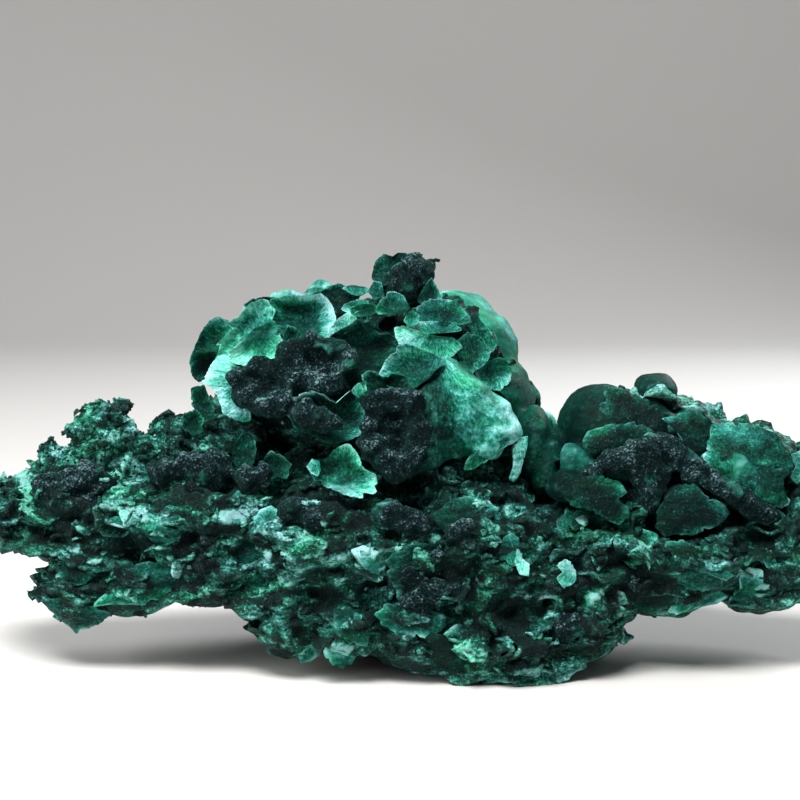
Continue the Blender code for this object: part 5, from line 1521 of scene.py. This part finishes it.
def grain_forms(bodies, rng):
    """Blocky crystal grains on the knuckles, and a dusting of them elsewhere."""
    place, normal = surface_samples(bodies, GRAIN_PLACES, rng)
    share = np.where(drused(place) > 0.4, 1.0, 0.03)
    wanted = (rng.random(len(place)) < share) & (place[:, 2] > 1.0)
    place, normal = place[wanted][:GRAIN_COUNT], normal[wanted][:GRAIN_COUNT]
    count = len(place)
    turn = frames_from(unit(normal + 0.8 * rng.normal(size=(count, 3))), rng)
    size = rng.uniform(0.14, 0.36, size=(count, 1, 1)) * np.stack(
        [np.ones(count), rng.uniform(0.6, 1, count), rng.uniform(0.8, 1.5, count)], axis=1
    )[:, None, :]
    narrow = np.where(GRAIN_CORNERS[:, 2] > 0, 0.45, 1.0)
    taper = np.stack([narrow, narrow, np.ones(8)], axis=1)
    points = placed(GRAIN_CORNERS * taper * size, turn, place - 0.02 * normal)
    faces = (GRAIN_FACES + (np.arange(count) * 8)[:, None, None]).reshape(-1, 4)
    flat = points.reshape(-1, 3)
    tone = np.repeat(np.clip(rng.normal(0.36, 0.20, count), 0.1, 1.0), 8)
    return [Form(flat, (faces,), look_of(0.0, tone), flat / 2.0)]


# ---------------------------------------------------------------- materials


def feed(tree, socket, value):
    """Gives a socket another node's output, or else a plain value."""
    if isinstance(value, bpy.types.NodeSocket):
        tree.links.new(value, socket)
    else:
        socket.default_value = value


def node(tree, kind, *inputs, **named):
    """A new node: settings and inputs by name, and inputs in their own order."""
    made = tree.nodes.new(kind)
    for name, value in named.items():
        if name in made.inputs:
            feed(tree, made.inputs[name], value)
        else:
            setattr(made, name, value)
    for socket, value in zip(made.inputs, inputs):
        feed(tree, socket, value)
    return made


def math_node(tree, operation, *inputs):
    return node(tree, "ShaderNodeMath", *inputs, operation=operation).outputs[0]


def vector_node(tree, operation, *inputs):
    return node(tree, "ShaderNodeVectorMath", *inputs, operation=operation).outputs[0]


def noise_node(tree, vector, scale, detail=3.0, distortion=0.0):
    kind = "ShaderNodeTexNoise"
    made = node(tree, kind, Vector=vector, Scale=scale, Detail=detail, Distortion=distortion)
    return made.outputs["Fac"]


def parted(tree, colour):
    """The red, green and blue of a colour."""
    return node(tree, "ShaderNodeSeparateColor", colour).outputs


def colour_ramp(tree, factor, stops):
    made = tree.nodes.new("ShaderNodeValToRGB")
    elements = made.color_ramp.elements
    while len(elements) < len(stops):
        elements.new(0.5)
    for element, (place, colour) in zip(elements, stops):
        element.position = place
        element.color = (*colour, 1.0)
    tree.links.new(factor, made.inputs["Fac"])
    return made.outputs["Color"]


def mixed(tree, factor, first, second):
    """The first colour where the factor is 0, and the second where it is 1."""
    made = node(tree, "ShaderNodeMix", data_type="RGBA")
    for index, value in ((0, factor), (6, first), (7, second)):
        feed(tree, made.inputs[index], value)
    return made.outputs[2]


# The colours: greens from the darkest to the palest tone, torn rims that also colour the painted sparkle,
# and velvet from black to its painted glints.
GREENS = [
    (0.00, (0.0010, 0.010, 0.009)),
    (0.20, (0.0022, 0.031, 0.023)),
    (0.40, (0.0060, 0.096, 0.068)),
    (0.60, (0.0240, 0.250, 0.185)),
    (0.80, (0.1400, 0.520, 0.450)),
    (1.00, (0.3900, 0.830, 0.780)),
]
RIMS = [
    (0.05, (0.0260, 0.165, 0.128)),
    (0.40, (0.1500, 0.500, 0.435)),
    (0.80, (0.4400, 0.870, 0.820)),
]
VELVETS = [
    (0.34, (0.0012, 0.0045, 0.0052)),
    (0.50, (0.0055, 0.0150, 0.0172)),
    (0.60, (0.0270, 0.0560, 0.0640)),
    (0.76, (0.1500, 0.2300, 0.2500)),
]
# What the greens are multiplied by: emerald at one end, bluish grey at the other.
TINTS = [
    (0.36, (0.46, 0.86, 0.66)),
    (0.48, (0.72, 0.86, 0.83)),
    (0.60, (0.92, 0.85, 0.94)),
]


def centred(tree, value, gain):
    """The value, which lies about a half, times gain and brought to lie about zero."""
    return math_node(tree, "MULTIPLY_ADD", value, gain, -0.5 * gain)


def between(tree, value, low, high):
    """0 below low, 1 above high, smooth between them; low may be the greater one."""
    made = node(tree, "ShaderNodeMapRange", value, low, high, interpolation_type="SMOOTHSTEP")
    return made.outputs["Result"]


def summed(tree, *values):
    total = values[0]
    for value in values[1:]:
        total = math_node(tree, "ADD", total, value)
    return total


def broken_cells(tree, place, scale):
    """A random value for each of many small ragged cells, like snapped bundles of fibre."""
    wobble = node(tree, "ShaderNodeTexNoise", Vector=place, Scale=1.7 * scale).outputs["Color"]
    offset = vector_node(tree, "MULTIPLY", wobble, (0.9 / scale,) * 3)
    ragged = vector_node(tree, "ADD", place, offset)
    cells = node(tree, "ShaderNodeTexVoronoi", Vector=ragged, Scale=scale)
    return parted(tree, cells.outputs["Color"])[0]


def malachite(name, torn, streaking, bump_height, gloss, specular=0.05, sheen=0.05):
    """Silky fibrous malachite: dark green faces, pale torn rims and dark velvet, by attribute, with painted
    sparkle in the base colour and painted glints on the velvet.

    torn says how broken the surface is, from 0 on smooth domes to 1 on the crust, and streaking
    how strongly its fibres show.
    """
    material = bpy.data.materials.new(name)
    material.use_nodes = True
    tree = material.node_tree
    look = node(tree, "ShaderNodeAttribute", attribute_name="look")
    rim, tone, velvet = parted(tree, look.outputs["Color"])
    fibre = node(tree, "ShaderNodeAttribute", attribute_name="fibre").outputs["Vector"]
    place = tree.nodes.new("ShaderNodeTexCoord").outputs["Object"]
    bedded = vector_node(tree, "MULTIPLY", place, BEDDING)
    layered = vector_node(tree, "MULTIPLY", place, LAMINAE)

    streaks = noise_node(tree, fibre, STREAK_SCALE, 5.0)
    patches = noise_node(tree, bedded, PATCH_SCALE, 6.0, 0.7)
    laminae = noise_node(tree, layered, 1.0, 3.0, 0.4)
    cells = broken_cells(tree, bedded, CELL_SCALE)
    specks = noise_node(tree, place, SPECK_SCALE)
    grain_and_sparkle = noise_node(tree, place, GRAIN_AND_SPARKLE_SCALE, 2.0)
    shadows = noise_node(tree, place, SHADOW_SCALE, 5.0, 0.5)

    shade = summed(
        tree,
        tone,
        centred(tree, patches, 0.5 + 1.4 * torn),
        centred(tree, cells, 0.40 * torn),
        centred(tree, laminae, 0.6 * torn),
        centred(tree, streaks, streaking),
        centred(tree, specks, 0.06 + 1.15 * torn),
        centred(tree, grain_and_sparkle, 0.06 + 0.7 * torn),
    )
    green = colour_ramp(tree, shade, GREENS)
    pale = colour_ramp(tree, shade, RIMS)
    # Painted sparkle: pale flecks in the base colour that stand for glints off tiny crystal faces, most on
    # the crust.
    painted_sparkle = math_node(tree, "MULTIPLY", between(tree, grain_and_sparkle, 0.62, 0.70), 0.10 + 0.5 * torn)
    edge = math_node(tree, "MULTIPLY", rim, between(tree, patches, 0.36, 0.56))
    rims_and_sparkle = mixed(tree, math_node(tree, "MAXIMUM", edge, painted_sparkle), green, pale)
    tint = colour_ramp(tree, noise_node(tree, bedded, TINT_SCALE, 4.0, 0.4), TINTS)
    tinted = vector_node(tree, "MULTIPLY", rims_and_sparkle, tint)

    # Painted glints on the velvet: the fibre tips' pale bluish specks, brightest where the look's rim is
    # high.
    painted_velvet_glints = summed(tree, grain_and_sparkle, centred(tree, rim, 0.30), centred(tree, patches, 0.36))
    speckled = colour_ramp(tree, painted_velvet_glints, VELVETS)
    dark_patch = between(tree, summed(tree, centred(tree, shadows, 1.0), tone), 0.08, 0.0)
    covered = math_node(tree, "MAXIMUM", velvet, math_node(tree, "MULTIPLY", dark_patch, torn))
    dull = math_node(tree, "MULTIPLY_ADD", patches, 0.5, gloss)

    relief = summed(
        tree,
        centred(tree, streaks, 1.0),
        centred(tree, specks, 1.0 + torn),
        centred(tree, patches, 2.0 * torn),
        centred(tree, cells, 0.8 * torn),
    )
    bump = node(tree, "ShaderNodeBump", Strength=1.0, Distance=bump_height * MM, Height=relief)
    surface = {
        "Base Color": mixed(tree, covered, tinted, speckled),
        "Roughness": math_node(tree, "MAXIMUM", dull, covered),
        "Normal": bump.outputs["Normal"],
        "IOR": 1.6,
        "Specular IOR Level": specular,
        "Sheen Weight": sheen,
        "Sheen Roughness": 0.45,
        "Sheen Tint": (0.10, 0.75, 0.58, 1.0),
    }
    shader = tree.nodes["Principled BSDF"]
    for part, value in surface.items():
        feed(tree, shader.inputs[part], value)
    return material


# ---------------------------------------------------------------- camera, light and floor


def add_camera():
    data = bpy.data.cameras.new("camera")
    data.sensor_width = SENSOR_WIDTH
    data.lens = SENSOR_WIDTH * CAMERA_DISTANCE / FRAME_WIDTH_AT_TARGET
    data.clip_start = 0.01
    camera = bpy.data.objects.new("camera", data)
    elevation = math.radians(CAMERA_ELEVATION)
    back = Vector((0.0, -math.cos(elevation), math.sin(elevation)))
    camera.location = (Vector(CAMERA_TARGET) + back * CAMERA_DISTANCE) * MM
    camera.rotation_euler = (-back).to_track_quat("-Z", "Y").to_euler()
    bpy.context.scene.collection.objects.link(camera)
    bpy.context.scene.camera = camera


def add_area_light(name, place, size, power, colour):
    data = bpy.data.lights.new(name, "AREA")
    data.shape = "RECTANGLE"
    data.size, data.size_y = size
    data.energy = power
    data.color = colour
    light = bpy.data.objects.new(name, data)
    light.location = place
    aim = Vector(LIGHTS_AIM) - Vector(place)
    light.rotation_euler = aim.to_track_quat("-Z", "Y").to_euler()
    bpy.context.scene.collection.objects.link(light)


def add_lights():
    add_area_light("key_light", (-0.12, -0.28, 0.50), (0.30, 0.22), 6.0, (1.0, 0.99, 0.97))
    add_area_light("left_light", (-0.50, -0.20, 0.22), (0.25, 0.30), 1.9, (1.0, 0.98, 0.95))
    add_area_light("back_light", (0.30, 0.36, 0.34), (0.25, 0.25), 2.4, (0.95, 0.98, 1.0))
    world = bpy.data.worlds.new("studio")
    world.use_nodes = True
    background = world.node_tree.nodes["Background"]
    background.inputs["Color"].default_value = (0.90, 0.91, 0.92, 1.0)
    background.inputs["Strength"].default_value = 0.18
    bpy.context.scene.world = world
    bpy.context.scene.view_settings.view_transform = "Standard"


def add_floor():
    """A pale floor that sweeps up into a backdrop, in metres."""
    front, bend_start, bend_radius, top, half_width = -0.9, 0.55, 0.35, 1.6, 1.8
    profile = [(front, 0.0), (bend_start, 0.0)]
    for turn in np.linspace(0.0, math.pi / 2, 17)[1:]:
        rise = bend_radius - bend_radius * math.cos(turn)
        profile.append((bend_start + bend_radius * math.sin(turn), rise))
    profile.append((bend_start + bend_radius, top))
    points = [(side, y, z) for y, z in profile for side in (-half_width, half_width)]
    faces = [(2 * k, 2 * k + 1, 2 * k + 3, 2 * k + 2) for k in range(len(profile) - 1)]
    mesh = bpy.data.meshes.new("floor")
    mesh.from_pydata(points, [], faces)
    mesh.shade_smooth()
    material = bpy.data.materials.new("pale_floor")
    material.use_nodes = True
    shader = material.node_tree.nodes["Principled BSDF"]
    shader.inputs["Base Color"].default_value = (0.62, 0.61, 0.60, 1.0)
    shader.inputs["Roughness"].default_value = 0.85
    mesh.materials.append(material)
    floor = bpy.data.objects.new("floor", mesh)
    bpy.context.scene.collection.objects.link(floor)


# ---------------------------------------------------------------- putting it together


def build():
    add_camera()
    add_lights()
    add_floor()
    crust = malachite("malachite_crust", 1.0, 0.0, bump_height=0.30, gloss=0.30, specular=0.12)
    silk = malachite("malachite_silk", 0.25, 0.85, bump_height=0.20, gloss=0.32)
    satin = malachite("malachite_satin", 0.35, 0.35, bump_height=0.14, gloss=0.34)
    skin = malachite("malachite_skin", 0.10, 0.0, bump_height=0.06, gloss=0.35)
    plush = malachite("malachite_velvet", 0.3, 0.0, bump_height=0.20, gloss=0.60, sheen=0.06)
    bodies = [
        crust_piece("crust_left", CRUST_LEFT, crust, 1.0),
        crust_piece("crust_middle", CRUST_MIDDLE, crust, 1.0),
        crust_piece("crust_right", CRUST_RIGHT, crust, 0.7),
        crust_piece("rosette_core", ROSETTE_CORE, crust, 0.4),
    ]
    bulge_piece("rosette_bulge", BULGE, silk)
    velvet_piece("velvet_growths", VELVET_GROWTHS, plush)
    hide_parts("specimen")
    dome_piece("smooth_lobes", LOBES, skin)
    leaves = [petal_form(petal) for petal in PETALS]
    leaves += [shell_form(shell, density=1.1) for shell in BACK_SHELLS]
    joined("rosette_shells", leaves, silk)
    leaves = [petal_form(petal) for petal in RIGHT_LEAVES]
    leaves += [shell_form(shell) for shell in BACK_OF_CLUSTER]
    joined("cluster_shells", leaves, silk)
    leaves = [petal_form(petal) for petal in DOME_SCALES]
    leaves += [shell_form(scale_on(*scale), density=0.9) for scale in BACK_SCALES]
    joined("dome_scales", leaves, satin)
    scales = [seated(scale, bodies[:3]) for scale in CRUST_SCALES]
    joined("crust_scales", [petal_form(scale, detail=0.75) for scale in scales], satin)
    joined("ledge_plates", plate_forms(), crust)
    rng = np.random.default_rng(SCATTER_SEED)
    joined("torn_chips", chip_forms(bodies, rng), crust)
    joined("flakes", flake_forms(bodies, rng), crust)
    joined("crystal_grains", grain_forms(bodies, rng), crust)


build()
